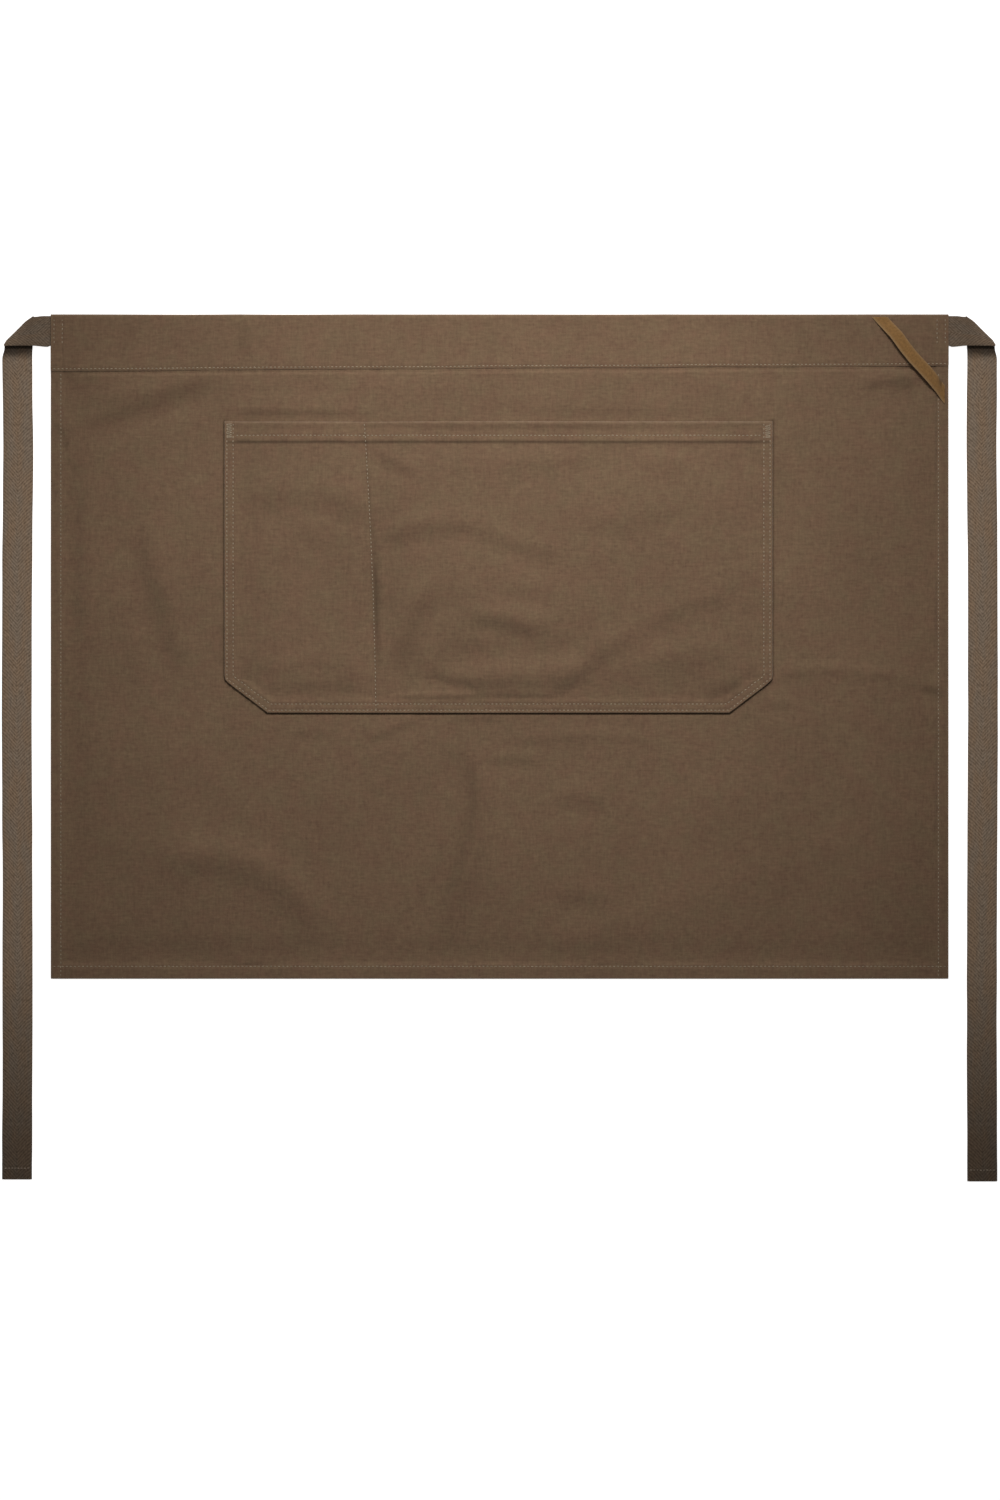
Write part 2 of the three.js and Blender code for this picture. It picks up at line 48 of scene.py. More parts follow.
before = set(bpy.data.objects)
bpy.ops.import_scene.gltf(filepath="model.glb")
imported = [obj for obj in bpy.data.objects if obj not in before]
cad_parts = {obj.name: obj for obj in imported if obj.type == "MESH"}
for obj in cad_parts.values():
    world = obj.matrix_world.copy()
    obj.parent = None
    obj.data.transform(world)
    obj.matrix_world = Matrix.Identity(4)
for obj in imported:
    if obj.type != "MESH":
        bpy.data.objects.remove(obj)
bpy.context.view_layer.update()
MM = 0.001

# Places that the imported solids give
PANEL_LOW, PANEL_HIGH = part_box("apron_panel")
BAND_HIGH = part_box("waistband")[1]
POCKET_LOW, POCKET_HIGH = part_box("pocket")
TIE_ENDS = ((-1, "tie_left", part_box("tie_left")[0].y), (1, "tie_right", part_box("tie_right")[0].y))
HALF_WIDTH = PANEL_HIGH.x
TOP_Y = BAND_HIGH.y
BOTTOM_Y = PANEL_LOW.y
BAND_TOP_Z = BAND_HIGH.z
SEWN_Z = POCKET_LOW.z

TABLE_Z = -0.15 * MM               # the table, just under the cloth
EDGE_REACH = 0.5 * MM              # how far a rounded cloth edge stands out
ROW_END = 1.5 * MM                 # how far from an edge a row of stitches ends
ROW_BREADTH = 0.9 * MM             # half the width of the line that a row presses in
PUCKER_REACH = 5 * MM              # how far the ripples spread beside a row
BAND_END_ROWS = (3 * MM, 10 * MM)  # the upright rows at the waistband's ends, from its end
BACK_SEAM_Z = 0.25 * MM            # the height of the waistband's stitches behind
SENSOR_WIDTH = 36.0                # of the camera, in millimetres
FARTHEST = 50.0                    # how far the camera sees
EYE_SHIFT = (0.0003, -0.0017)      # where the camera stands beside the apron's middle
WIDE_GAP = 12 * MM                 # from here on, grid lines lie the coarse distance apart
FINEST_GRID = 1.5 * MM             # distance between the grid lines at hems and edges
HANG_LIFT = 14 * MM                # how far above its turned end a tie comes down to the table
TIE_ROW = 2 * MM                   # from a tie's turned edge to its row of stitches

# One crease of the cloth. start, bend and end are the three points of a curve, in millimetres to
# the right and down from the apron's top left corner. breadth is half the crease's width. ridge
# is how far the cloth stands up along it, or is pressed in when below zero. step lifts the cloth
# on the left of the way from start to end and presses it in on the right, each by 0.7 of its
# value. All are in millimetres.
Crease = namedtuple("Crease", "start bend end breadth ridge step")
STEP_GAIN = 1.6

PANEL_CREASES = (
    Crease((10, 103), (85, 80), (150, 54), 13, -1.2, 1.5),
    Crease((12, 79), (60, 74), (114, 66), 6, 0.0, 0.7),
    Crease((2, 84), (11, 92), (15, 109), 3, -0.7, 0.5),
    Crease((18, 84), (10, 96), (3, 101), 3, -0.5, 0.2),
    Crease((136, 86), (215, 83), (276, 86), 6, 0.0, 1.0),
    Crease((250, 85), (262, 84), (280, 88), 4, 0.0, 0.5),
    Crease((330, 83), (470, 80), (600, 86), 7, 0.0, 0.5),
    Crease((630, 118), (637, 180), (634, 236), 9, -0.6, 1.0),
    Crease((610, 314), (655, 294), (768, 320), 5, 0.8, 0.3),
    Crease((735, 322), (750, 320), (766, 325), 4, 0.0, 0.5),
    Crease((606, 337), (622, 335), (642, 338), 5, 0.0, 0.5),
    Crease((203, 360), (222, 361), (243, 362), 5, 0.0, 0.6),
    Crease((262, 369), (292, 360), (318, 345), 6, 0.0, 0.8),
    Crease((340, 348), (365, 346), (394, 348), 5, 0.0, 0.6),
    Crease((375, 367), (445, 356), (540, 367), 5, 0.6, 0.2),
    Crease((358, 384), (395, 383), (430, 385), 7, 0.0, 0.6),
    Crease((351, 362), (380, 440), (312, 548), 12, -0.6, 2.9),
    Crease((70, 480), (200, 436), (240, 556), 16, 2.0, 1.0),
    Crease((20, 118), (26, 210), (22, 300), 12, 0.0, 1.2),
    Crease((70, 165), (88, 250), (118, 326), 16, 0.0, 1.9),
    Crease((748, 205), (754, 245), (747, 290), 10, 0.0, 1.1),
    Crease((690, 68), (718, 54), (748, 58), 8, 0.0, 1.5),
    Crease((428, 420), (455, 414), (484, 424), 12, 0.0, 0.9),
    Crease((428, 505), (458, 499), (486, 507), 12, 0.0, 0.8),
    Crease((500, 530), (610, 485), (720, 425), 18, 0.6, 0.0),
    Crease((400, 552), (500, 525), (600, 470), 16, 0.5, 0.0),
    Crease((560, 470), (640, 430), (740, 380), 16, 0.5, 0.0),
    Crease((728, 566), (740, 558), (754, 566), 3, 0.4, 0.0),
    Crease((640, 566), (655, 560), (668, 566), 4, 0.3, 0.0),
    Crease((180, 566), (196, 561), (214, 566), 4, 0.3, 0.0),
    Crease((230, 60), (330, 66), (440, 58), 12, 0.6, 0.0),
    Crease((520, 60), (600, 70), (690, 64), 12, 0.5, 0.0),
    Crease((120, 380), (160, 400), (170, 450), 14, 0.6, 0.0),
    Crease((30, 340), (60, 400), (40, 470), 16, 0.7, 0.3),
    Crease((690, 130), (700, 190), (690, 260), 15, 0.6, 0.0),
)

BAND_CREASES = (
    Crease((70, 4), (68, 22), (58, 44), 7, 0.0, 0.7),
    Crease((168, 3), (167, 20), (169, 42), 6, 0.0, 0.8),
    Crease((377, 3), (375, 20), (377, 42), 6, -0.2, 0.7),
    Crease((530, 3), (528, 20), (533, 42), 8, 0.2, 0.0),
    Crease((643, 3), (646, 20), (643, 42), 6, 0.0, 0.6),
    Crease((687, 3), (690, 20), (686, 42), 6, 0.0, 0.6),
    Crease((754, 44), (762, 45), (769, 49), 3, -0.3, 0.2),
)

POCKET_CREASES = (
    Crease((150, 172), (232, 136), (284, 190), 15, 0.0, 1.6),
    Crease((280, 184), (281, 220), (284, 260), 3, -0.3, 2.4),
    Crease((281, 250), (282, 290), (280, 330), 5, 0.0, 0.4),
    Crease((271, 112), (290, 132), (318, 140), 8, 0.0, 1.3),
    Crease((274, 206), (318, 172), (384, 190), 11, 0.0, 1.6),
    Crease((352, 182), (400, 205), (448, 212), 12, 0.0, 1.4),
    Crease((386, 140), (455, 122), (496, 122), 12, 0.0, 0.8),
    Crease((496, 134), (525, 132), (556, 135), 12, 0.0, 0.6),
    Crease((436, 187), (500, 184), (556, 164), 14, 0.0, 0.9),
    Crease((342, 222), (308, 260), (290, 320), 16, 0.0, -1.9),
    Crease((350, 262), (386, 262), (426, 279), 10, 0.0, 1.8),
    Crease((431, 336), (458, 292), (520, 272), 12, 0.0, 1.6),
    Crease((492, 284), (536, 248), (596, 243), 12, 0.0, 1.3),
    Crease((366, 330), (405, 329), (450, 331), 5, 0.0, 0.7),
    Crease((355, 313), (365, 322), (374, 333), 3, 0.0, 0.5),
    Crease((186, 317), (200, 293), (278, 304), 8, 0.0, 0.6),
    Crease((192, 322), (230, 319), (276, 321), 6, 0.0, 0.25),
    Crease((566, 326), (592, 322), (603, 298), 9, 0.0, 0.8),
    Crease((452, 203), (470, 196), (486, 206), 10, 0.6, 0.0),
    Crease((600, 205), (610, 208), (619, 206), 3, 0.35, 0.0),
    Crease((602, 223), (611, 226), (619, 224), 3, 0.35, 0.0),
    Crease((598, 243), (610, 247), (619, 245), 4, 0.4, 0.0),
    Crease((600, 266), (610, 270), (619, 269), 4, 0.35, 0.0),
    Crease((278, 99), (440, 96), (612, 99), 4, 0.0, 0.35),
    Crease((250, 113), (266, 114), (284, 113), 3, 0.0, 0.4),
    Crease((450, 114), (515, 112), (588, 113), 4, 0.0, 0.5),
    Crease((165, 250), (172, 280), (166, 312), 9, 0.5, 0.0),
    Crease((205, 205), (215, 250), (208, 300), 14, 0.5, 0.0),
    Crease((280, 325), (330, 321), (382, 328), 8, 0.0, -2.4),
    Crease((316, 308), (400, 298), (482, 297), 17, 0.0, -3.6),
    Crease((505, 294), (550, 282), (592, 268), 12, 0.0, -0.9),
    Crease((300, 124), (400, 112), (484, 122), 14, 0.0, -0.9),
    Crease((368, 250), (405, 247), (440, 262), 10, 0.0, -0.9),
)

# Lines of painted shade along sharp creases, darkening the cloth where a fold's shade falls. ridge is how
# dark, from 0 to 1.
CREASE_PAINTED_SHADE = (
    Crease((146, 54), (100, 80), (18, 99), 6, 0.26, 0.0),
    Crease((2, 96), (6, 97), (12, 101), 1.8, 0.75, 0.0),
    Crease((11, 98), (12, 107), (14, 118), 1.8, 0.75, 0.0),
    Crease((10, 126), (20, 128), (30, 136), 4, 0.25, 0.0),
    Crease((355, 362), (378, 440), (316, 548), 8, 0.24, 0.0),
    Crease((716, 68), (732, 62), (746, 60), 4, 0.4, 0.0),
    Crease((744, 320), (756, 322), (768, 326), 3, 0.5, 0.0),
    Crease((166, 4), (163, 22), (166, 42), 6, 0.26, 0.0),
    Crease((70, 4), (68, 22), (58, 42), 6, 0.18, 0.0),
    Crease((378, 4), (376, 20), (378, 42), 5, 0.18, 0.0),
    Crease((644, 4), (647, 20), (644, 42), 5, 0.16, 0.0),
    Crease((687, 4), (690, 20), (686, 42), 5, 0.16, 0.0),
    Crease((332, 232), (308, 262), (296, 320), 9, 0.24, 0.0),
    Crease((556, 327), (578, 324), (594, 316), 6, 0.3, 0.0),
)

# How the hanging ties wander sideways. down is a share of the drop, and left and right are how
# far each tie comes in towards the body, as a share of its width.
Sway = namedtuple("Sway", "down left right")

TIE_SWAY = (
    Sway(0.00, 0.00, 0.00),
    Sway(0.12, 0.05, 0.03),
    Sway(0.25, 0.01, -0.01),
    Sway(0.45, -0.01, -0.02),
    Sway(0.65, 0.02, 0.01),
    Sway(0.85, 0.02, 0.02),
    Sway(1.00, 0.00, 0.00),
)

# The hanging loop's arch. along is a share of its length, rise of its full rise, and bow of its
# width, sideways.
Arch = namedtuple("Arch", "along rise bow")

LOOP_ARCH = (
    Arch(0.00, 0.00, 0.00),
    Arch(0.05, 0.06, 0.00),
    Arch(0.13, 0.40, 0.02),
    Arch(0.24, 0.76, 0.06),
    Arch(0.37, 0.94, -0.04),
    Arch(0.50, 1.00, -0.08),
    Arch(0.63, 0.94, -0.02),
    Arch(0.76, 0.76, 0.04),
    Arch(0.87, 0.40, 0.06),
    Arch(0.95, 0.06, 0.02),
    Arch(1.00, 0.00, 0.00),
)


def smooth(t):
    """0 below 0, 1 above 1, and an even curve between them."""
    t = np.clip(t, 0.0, 1.0)
    return t * t * t * (t * (6.0 * t - 15.0) + 10.0)


def fall(t):
    """1 at 0, easing out to 0 at 1."""
    return (1.0 - np.clip(t, 0.0, 1.0)) ** 2


def bump(distance, breadth):
    """A soft hill across a line."""
    return np.exp(-((distance / breadth) ** 2))


def waves(x, y, grain, seed):
    """Smooth seeded waves between -1 and 1, about one grain long."""
    cells = 64
    heights = np.random.default_rng(seed).uniform(-1.0, 1.0, (cells, cells))
    u = x / grain + cells / 2
    v = y / grain + cells / 2
    i = np.floor(u).astype(int)
    j = np.floor(v).astype(int)
    across = smooth(u - i)
    along = smooth(v - j)

    def height(di, dj):
        return heights[(i + di) % cells, (j + dj) % cells]

    low = height(0, 0) * (1 - across) + height(1, 0) * across
    high = height(0, 1) * (1 - across) + height(1, 1) * across
    return low * (1 - along) + high * along


def ripples(along, grain, seed):
    """Smooth seeded waves along a line."""
    return waves(along, 0 * along, grain, seed)


def from_corner(point):
    """A place in metres, from millimetres to the right and down from the top left corner."""
    return np.array([-HALF_WIDTH + point[0] * MM, TOP_Y - point[1] * MM])


def crease_height(rows, x, y):
    """The rise of a table of creases at each place."""
    total = np.zeros(np.broadcast(x, y).shape)
    places = np.stack(np.broadcast_arrays(x, y), axis=-1).reshape(-1, 2)
    steps = 14
    share = np.linspace(0.0, 1.0, steps + 1)[:, None]
    for row in rows:
        start, bend, end = (from_corner(p) for p in (row.start, row.bend, row.end))
        line = (1 - share) ** 2 * start + 2 * share * (1 - share) * bend + share**2 * end
        breadth = row.breadth * MM
        reach = 3 * breadth
        near = np.all((places > line.min(0) - reach) & (places < line.max(0) + reach), axis=1)
        if not near.any():
            continue
        at = places[near]
        closest = np.full(len(at), np.inf)
        side = np.zeros(len(at))
        along = np.zeros(len(at))
        for k in range(steps):
            way = line[k + 1] - line[k]
            length = np.hypot(*way)
            offset = at - line[k]
            t = np.clip(offset @ way / length**2, 0.0, 1.0)
            gap = offset - t[:, None] * way
            distance = np.hypot(gap[:, 0], gap[:, 1])
            better = distance < closest
            beside = (way[0] * offset[:, 1] - way[1] * offset[:, 0]) / length
            closest = np.where(better, distance, closest)
            side = np.where(better, np.sign(beside) * distance, side)
            along = np.where(better, (k + t) / steps, along)
        across = side / breadth
        ends = smooth(along / 0.3) * smooth((1 - along) / 0.3)
        lift = (row.ridge + row.step * across * STEP_GAIN) * np.exp(-(across**2)) * MM
        flat = total.reshape(-1)
        flat[near] += lift * ends
    return total


def crease_painted_shade(x, y):
    """How much painted shade darkens the cloth along its sharp creases."""
    return np.clip(crease_height(CREASE_PAINTED_SHADE, x, y) / MM, 0.0, 1.0)


def settled(height, softness):
    """A height that never goes below the surface that the cloth lies on."""
    return softness * np.logaddexp(0.0, height / softness)


def band_edge(sizes, x):
    """The waistband's lower edge, which runs slightly uphill to the right."""
    share = (x + HALF_WIDTH) / (2 * HALF_WIDTH)
    depth = sizes.band_depth_left + (sizes.band_depth_right - sizes.band_depth_left) * share
    return TOP_Y - depth + 0.35 * MM * ripples(x, 60 * MM, 3)


def inside_hems(sizes, x, y):
    """How far a place is inside the hems' inner edges. Below zero it is in a hem."""
    return np.minimum(HALF_WIDTH - np.abs(x) - sizes.side_hem, y - BOTTOM_Y - sizes.bottom_hem)


def seam_pucker(sizes, along, seed):
    """Small ripples that a row of stitches draws into the cloth, along the row."""
    return sizes.pucker * (ripples(along, 8 * MM, seed) + 0.6 * ripples(along, 19 * MM, seed + 1))


def panel_waves(sizes, x, y):
    """Creases of the body and the gentle unevenness between them."""
    uneven = 1.3 * waves(x, y, 130 * MM, 11) + 0.75 * waves(x, y, 52 * MM, 12)
    fine = 0.19 * waves(x, y, 21 * MM, 13) + 0.07 * waves(x, y, 10 * MM, 14)
    creases = crease_height(PANEL_CREASES, x, y)
    return sizes.fold_strength * (sizes.body_folds * creases + (uneven + fine) * MM)


def panel_faces(sizes, x, y):
    """The upper and lower face of the body's cloth at each place."""
    below = band_edge(sizes, x) - y
    inside = inside_hems(sizes, x, y)
    hem_lift = sizes.hem_stack - sizes.cloth
    at_hem = hem_lift * fall(inside / sizes.hem_fall)
    at_band = (SEWN_Z + 0.35 * MM * waves(x, y, 45 * MM, 21)) * fall(below / sizes.band_fall)
    room = np.minimum(np.minimum(HALF_WIDTH - np.abs(x), y - BOTTOM_Y), below)
    folds = panel_waves(sizes, x, y) * smooth((room + 2 * MM) / (16 * MM))
    resting = 1.9 * MM * smooth(inside / (30 * MM))
    field = settled(np.maximum(at_hem, at_band) + resting + folds, 0.3 * MM)
    edge_lift = 0.35 * MM * (1 + waves(x, y, 70 * MM, 22)) * smooth(below / (30 * MM))
    hem_foot = np.maximum(SEWN_Z * fall(below / sizes.side_hem), edge_lift)
    in_hem = inside <= 0
    lower = np.where(in_hem, hem_foot, field + 0.6 * edge_lift * fall(inside / sizes.hem_fall))
    upper = np.where(in_hem, hem_foot + sizes.hem_stack, lower + sizes.cloth)
    row = inside + sizes.hem_row
    along = np.where(HALF_WIDTH - np.abs(x) - sizes.side_hem < y - BOTTOM_Y - sizes.bottom_hem, y, x)
    near_row = bump(row, PUCKER_REACH)
    upper = upper + near_row * seam_pucker(sizes, along, 23) - sizes.groove * bump(row, ROW_BREADTH)
    upper = upper - sizes.groove * bump(inside, 1.2 * MM)
    in_band = below <= 0
    ceiling = np.where(below < 3 * MM, SEWN_Z + 1.5 * sizes.cloth, np.inf)
    upper = np.where(in_band, SEWN_Z + sizes.cloth, np.minimum(upper, ceiling))
    lower = np.where(in_band, SEWN_Z, lower)
    return upper, np.minimum(lower, upper - 0.5 * sizes.cloth)


def panel_top(sizes, x, y):
    """The upper face of the body's cloth, pressed in along the pocket's sewn edge."""
    upper, _ = panel_faces(sizes, x, y)
    return upper - 0.35 * MM * bump(pocket_outside(sizes, x, y) - 0.4 * MM, 1.6 * MM)


def band_top(sizes, x, y):
    """The waistband's upper face."""
    above = y - band_edge(sizes, x)
    uneven = 0.34 * waves(x, y, 60 * MM, 31) + 0.15 * waves(x, y, 22 * MM, 32)
    creases = crease_height(BAND_CREASES, x, y) * smooth((TOP_Y - y) / (8 * MM))
    level = BAND_TOP_Z - 0.25 * MM + sizes.fold_strength * (uneven * MM + creases)
    row = above - sizes.band_row
    ripple = bump(row, PUCKER_REACH) * seam_pucker(sizes, x, 33)
    step = 0.16 * MM * smooth((9 * MM - above) / (2 * MM)) - 0.6 * MM * bump(above, 1.1 * MM)
    ends = HALF_WIDTH - np.abs(x)
    end_rows = sum(bump(ends - inset, ROW_BREADTH) for inset in BAND_END_ROWS)
    pressed = sizes.groove * (bump(row, ROW_BREADTH) + end_rows)
    return level + ripple + step - pressed


def pocket_sides(sizes, y):
    """The pocket's left and right edges at each height, and how much a slanting edge widens."""
    left = POCKET_LOW.x
    right = POCKET_HIGH.x
    up = y - POCKET_LOW.y
    rounding = 1.6 * MM
    slope = sizes.corner_across / sizes.corner_up
    cut = settled((sizes.corner_up - up) * slope, rounding)
    slant = np.where(up < sizes.corner_up, np.hypot(slope, 1.0), 1.0)
    return left + cut, right - cut, slant


def divider_x(sizes, y):
    """The seam between the pen pocket and the main one, which leans to the right going down."""
    share = (y - POCKET_LOW.y) / (POCKET_HIGH.y - POCKET_LOW.y)
    bow = 1.6 * MM * np.sin(np.pi * np.clip(share, 0, 1))
    return POCKET_LOW.x + sizes.pen_at_foot + (sizes.pen_at_mouth - sizes.pen_at_foot) * share + bow


def pocket_outside(sizes, x, y):
    """Distance to the pocket's sewn outline, on both sides of it."""
    left, right, slant = pocket_sides(sizes, y)
    side = np.minimum(x - left, right - x) / slant
    edge = np.minimum(side, y - POCKET_LOW.y)
    above = np.maximum(y - POCKET_HIGH.y, 0)
    return np.hypot(edge, above)


def pocket_inset(sizes, x, y):
    """Distance in from the pocket's sewn edges, as its grid lines run."""
    left, right, slant = pocket_sides(sizes, y)
    return np.minimum(np.minimum(x - left, right - x) / slant, y - POCKET_LOW.y)


def pocket_depth(sizes, x, y):
    """Distance in from the pocket's sides, cut corners and foot, with no jump where they meet."""
    across, up = sizes.corner_across, sizes.corner_up
    side = np.minimum(x - POCKET_LOW.x, POCKET_HIGH.x - x)
    rise = y - POCKET_LOW.y
    cut = (side * up + rise * across - across * up) / np.hypot(across, up)
    return np.minimum(np.minimum(side, cut), rise)


def pocket_stand(sizes, x, y):
    """How far the pocket's slack cloth stands off the body."""
    inset = pocket_depth(sizes, x, y) - sizes.pocket_rim
    seam = np.abs(x - divider_x(sizes, y))
    pen = x < divider_x(sizes, y)
    rise = np.where(pen, sizes.pen_rise, sizes.pocket_rise)
    near_mouth = smooth((y - POCKET_HIGH.y + 70 * MM) / (70 * MM))
    height = rise + (np.minimum(rise, sizes.mouth_rise) - rise) * near_mouth
    edge_reach = np.where(pen, 34 * MM, 62 * MM)
    puff = smooth(inset / edge_reach + 0.06) * smooth((seam - 1 * MM) / (0.75 * edge_reach) + 0.10)
    uneven = 0.75 * waves(x, y, 75 * MM, 41) + 0.38 * waves(x, y, 33 * MM, 42)
    fine = 0.13 * waves(x, y, 15 * MM, 43)
    folds = sizes.fold_strength * (crease_height(POCKET_CREASES, x, y) + (uneven + fine) * MM)
    loose = smooth(inset / (9 * MM) + 0.1)
    held = smooth((seam - 0.6 * MM) / (2.6 * MM) + 0.3)
    return np.where(inset > -2 * MM, settled(height * puff + folds * loose * held, 0.12 * MM), 0.0)


def pocket_faces(sizes, x, y):
    """The upper and lower face of the pocket's cloth at each place."""
    base = panel_faces(sizes, x, y)[0] + sizes.pocket_gap + pocket_stand(sizes, x, y)
    inset = pocket_inset(sizes, x, y)
    from_mouth = POCKET_HIGH.y - y
    doubled = (inset <= sizes.pocket_rim) | (from_mouth <= sizes.pocket_hem)
    over_rim = fall((inset - sizes.pocket_rim) / (5 * MM))
    over_hem = fall((from_mouth - sizes.pocket_hem) / (2.2 * MM))
    layers = sizes.cloth * np.maximum(over_rim, over_hem)
    lower = np.where(doubled, base, base + layers)
    upper = np.where(doubled, base + 2 * sizes.cloth, lower + sizes.cloth)
    first = bump(inset - sizes.rim_row_outer, ROW_BREADTH)
    second = bump(inset - sizes.rim_row_inner, ROW_BREADTH)
    hem_row = bump(from_mouth - sizes.pocket_hem_row, ROW_BREADTH) * (inset > 2 * MM)
    seam = bump(x - divider_x(sizes, y), ROW_BREADTH)
    along = np.where(np.abs(inset - (y - POCKET_LOW.y)) < 1e-6, x, y)
    ripple = bump(inset - 5 * MM, PUCKER_REACH) * seam_pucker(sizes, along, 44)
    ripple = ripple + bump(from_mouth - 12 * MM, 6 * MM) * seam_pucker(sizes, x, 45)
    ripple = ripple + bump(x - divider_x(sizes, y), PUCKER_REACH) * 1.5 * seam_pucker(sizes, y, 46)
    pressed = sizes.groove * (first + second + hem_row + 1.4 * seam)
    rolled = 0.3 * MM * bump(from_mouth - 1.5 * MM, 1.8 * MM)
    hollow = 0.45 * MM * bump(from_mouth - 7 * MM, 4.5 * MM) * smooth(inset / (12 * MM))
    upper = upper + ripple - pressed + rolled - hollow
    return upper, np.minimum(lower, upper - 0.6 * sizes.cloth)


def pocket_top(sizes, x, y):
    """The upper face of the pocket's cloth."""
    return pocket_faces(sizes, x, y)[0]


def ticks(edges, finest, coarsest):
    """Grid lines through all the given places.

    They are at most the coarse distance apart, and the fine one between places that lie close.
    """
    lines = []
    for low, high in zip(edges[:-1], edges[1:]):
        gap = high - low
        wanted = coarsest if gap > WIDE_GAP else finest
        count = max(1, int(np.ceil(gap / wanted)))
        lines.extend(np.linspace(low, high, count, endpoint=False))
    return np.array([*lines, edges[-1]])


def around(place, reach):
    """A place with a line on both sides of it."""
    return [place - reach, place, place + reach]


def from_both_ends(insets):
    """Places at the same insets from the body's left and right side."""
    return [-HALF_WIDTH + d for d in insets], [HALF_WIDTH - d for d in reversed(insets)]


def hem_insets(sizes, hem):
    """Grid lines across a turned hem, counted from the cloth's edge."""
    row = around(hem - sizes.hem_row, 1.2 * MM)
    return [EDGE_REACH, *row, hem, hem + 0.6 * MM, hem + sizes.hem_fall]


def front_marks(edge_wear_and_highlight, painted_shade):
    """The edge wear with painted highlight, and the painted shade, of a piece's front. Its back has neither.
    """
    return {"edge_wear_and_highlight": (edge_wear_and_highlight, 0 * edge_wear_and_highlight), "painted_shade": (painted_shade, 0 * painted_shade)}


def both_marks(marks):
    """The same marks on both faces of a tape."""
    return {label: (grid, grid) for label, grid in marks.items()}


def finish_mesh(name, points, faces, attributes):
    """An object from points and faces, turned outwards and shaded smooth."""
    mesh = bpy.data.meshes.new(name)
    mesh.vertices.add(len(points))
    mesh.vertices.foreach_set("co", np.asarray(points, np.float32).ravel())
    corners = np.concatenate([np.asarray(f, np.int32).ravel() for f in faces])
    sizes = np.concatenate([np.full(len(f), np.shape(f)[1], np.int32) for f in faces])
    mesh.loops.add(len(corners))
    mesh.loops.foreach_set("vertex_index", corners)
    mesh.polygons.add(len(sizes))
    mesh.polygons.foreach_set("loop_start", np.concatenate([[0], np.cumsum(sizes)[:-1]]).astype(np.int32))
    mesh.polygons.foreach_set("loop_total", sizes)
    mesh.polygons.foreach_set("use_smooth", np.ones(len(sizes), bool))
    mesh.update(calc_edges=True)
    mesh.validate()
    for label, values in attributes.items():
        kind = "FLOAT" if np.ndim(values) == 1 else "FLOAT_VECTOR"
        layer = mesh.attributes.new(label, kind, "POINT")
        field = "value" if kind == "FLOAT" else "vector"
        layer.data.foreach_set(field, np.asarray(values, np.float32).ravel())
    made = bpy.data.objects.new(name, mesh)
    bpy.context.scene.collection.objects.link(made)
    return made


def cloth_mesh(name, upper, lower, reach, marks=None):
    """A closed sheet between two grids of points, whose border is rounded outwards by reach.

    marks gives attributes, each as a pair of grids of values, for the upper and lower face.
    """
    rows, columns = upper.shape[:2]
    index = np.arange(rows * columns).reshape(rows, columns)
    border = np.concatenate([index[0, :-1], index[:-1, -1], index[-1, :0:-1], index[:0:-1, 0]])
    inner = index.copy()
    inner[0, :] = inner[1, :]
    inner[-1, :] = inner[-2, :]
    inner[:, 0] = inner[:, 1]
    inner[:, -1] = inner[:, -2]
    flat_up = upper.reshape(-1, 3)
    flat_low = lower.reshape(-1, 3)
    middle = (flat_up + flat_low) / 2
    out = middle[border] - middle[inner.reshape(-1)[border]]
    out = out / np.linalg.norm(out, axis=1)[:, None]
    half = (flat_up - flat_low)[border] / 2
    angles = np.pi * np.arange(1, 5) / 5
    rings = [middle[border] + half * np.cos(a) + out * reach * np.sin(a) for a in angles]
    points = np.concatenate([flat_up, flat_low, *rings])
    count = rows * columns
    a, b, c, d = index[:-1, :-1], index[:-1, 1:], index[1:, 1:], index[1:, :-1]
    top = np.stack([a, b, c, d], axis=-1).reshape(-1, 4)
    bottom = np.stack([a, d, c, b], axis=-1).reshape(-1, 4) + count
    loops = [border]
    loops += [2 * count + k * len(border) + np.arange(len(border)) for k in range(len(rings))]
    loops.append(border + count)
    walls = []
    for high, low in zip(loops[:-1], loops[1:]):
        walls.append(np.stack([high, low, np.roll(low, -1), np.roll(high, -1)], axis=-1))
    attributes = {}
    for label, (above, beneath) in (marks or {}).items():
        above = above.reshape(count, -1)
        beneath = beneath.reshape(count, -1)
        values = np.concatenate([above, beneath] + [above[border]] * len(rings))
        attributes[label] = values[:, 0] if values.shape[1] == 1 else values
    return finish_mesh(name, points, [top, bottom, *walls], attributes)


def grid_points(x, y, z):
    """A grid of points from grids of their three places."""
    return np.stack(np.broadcast_arrays(x, y, z), axis=-1)


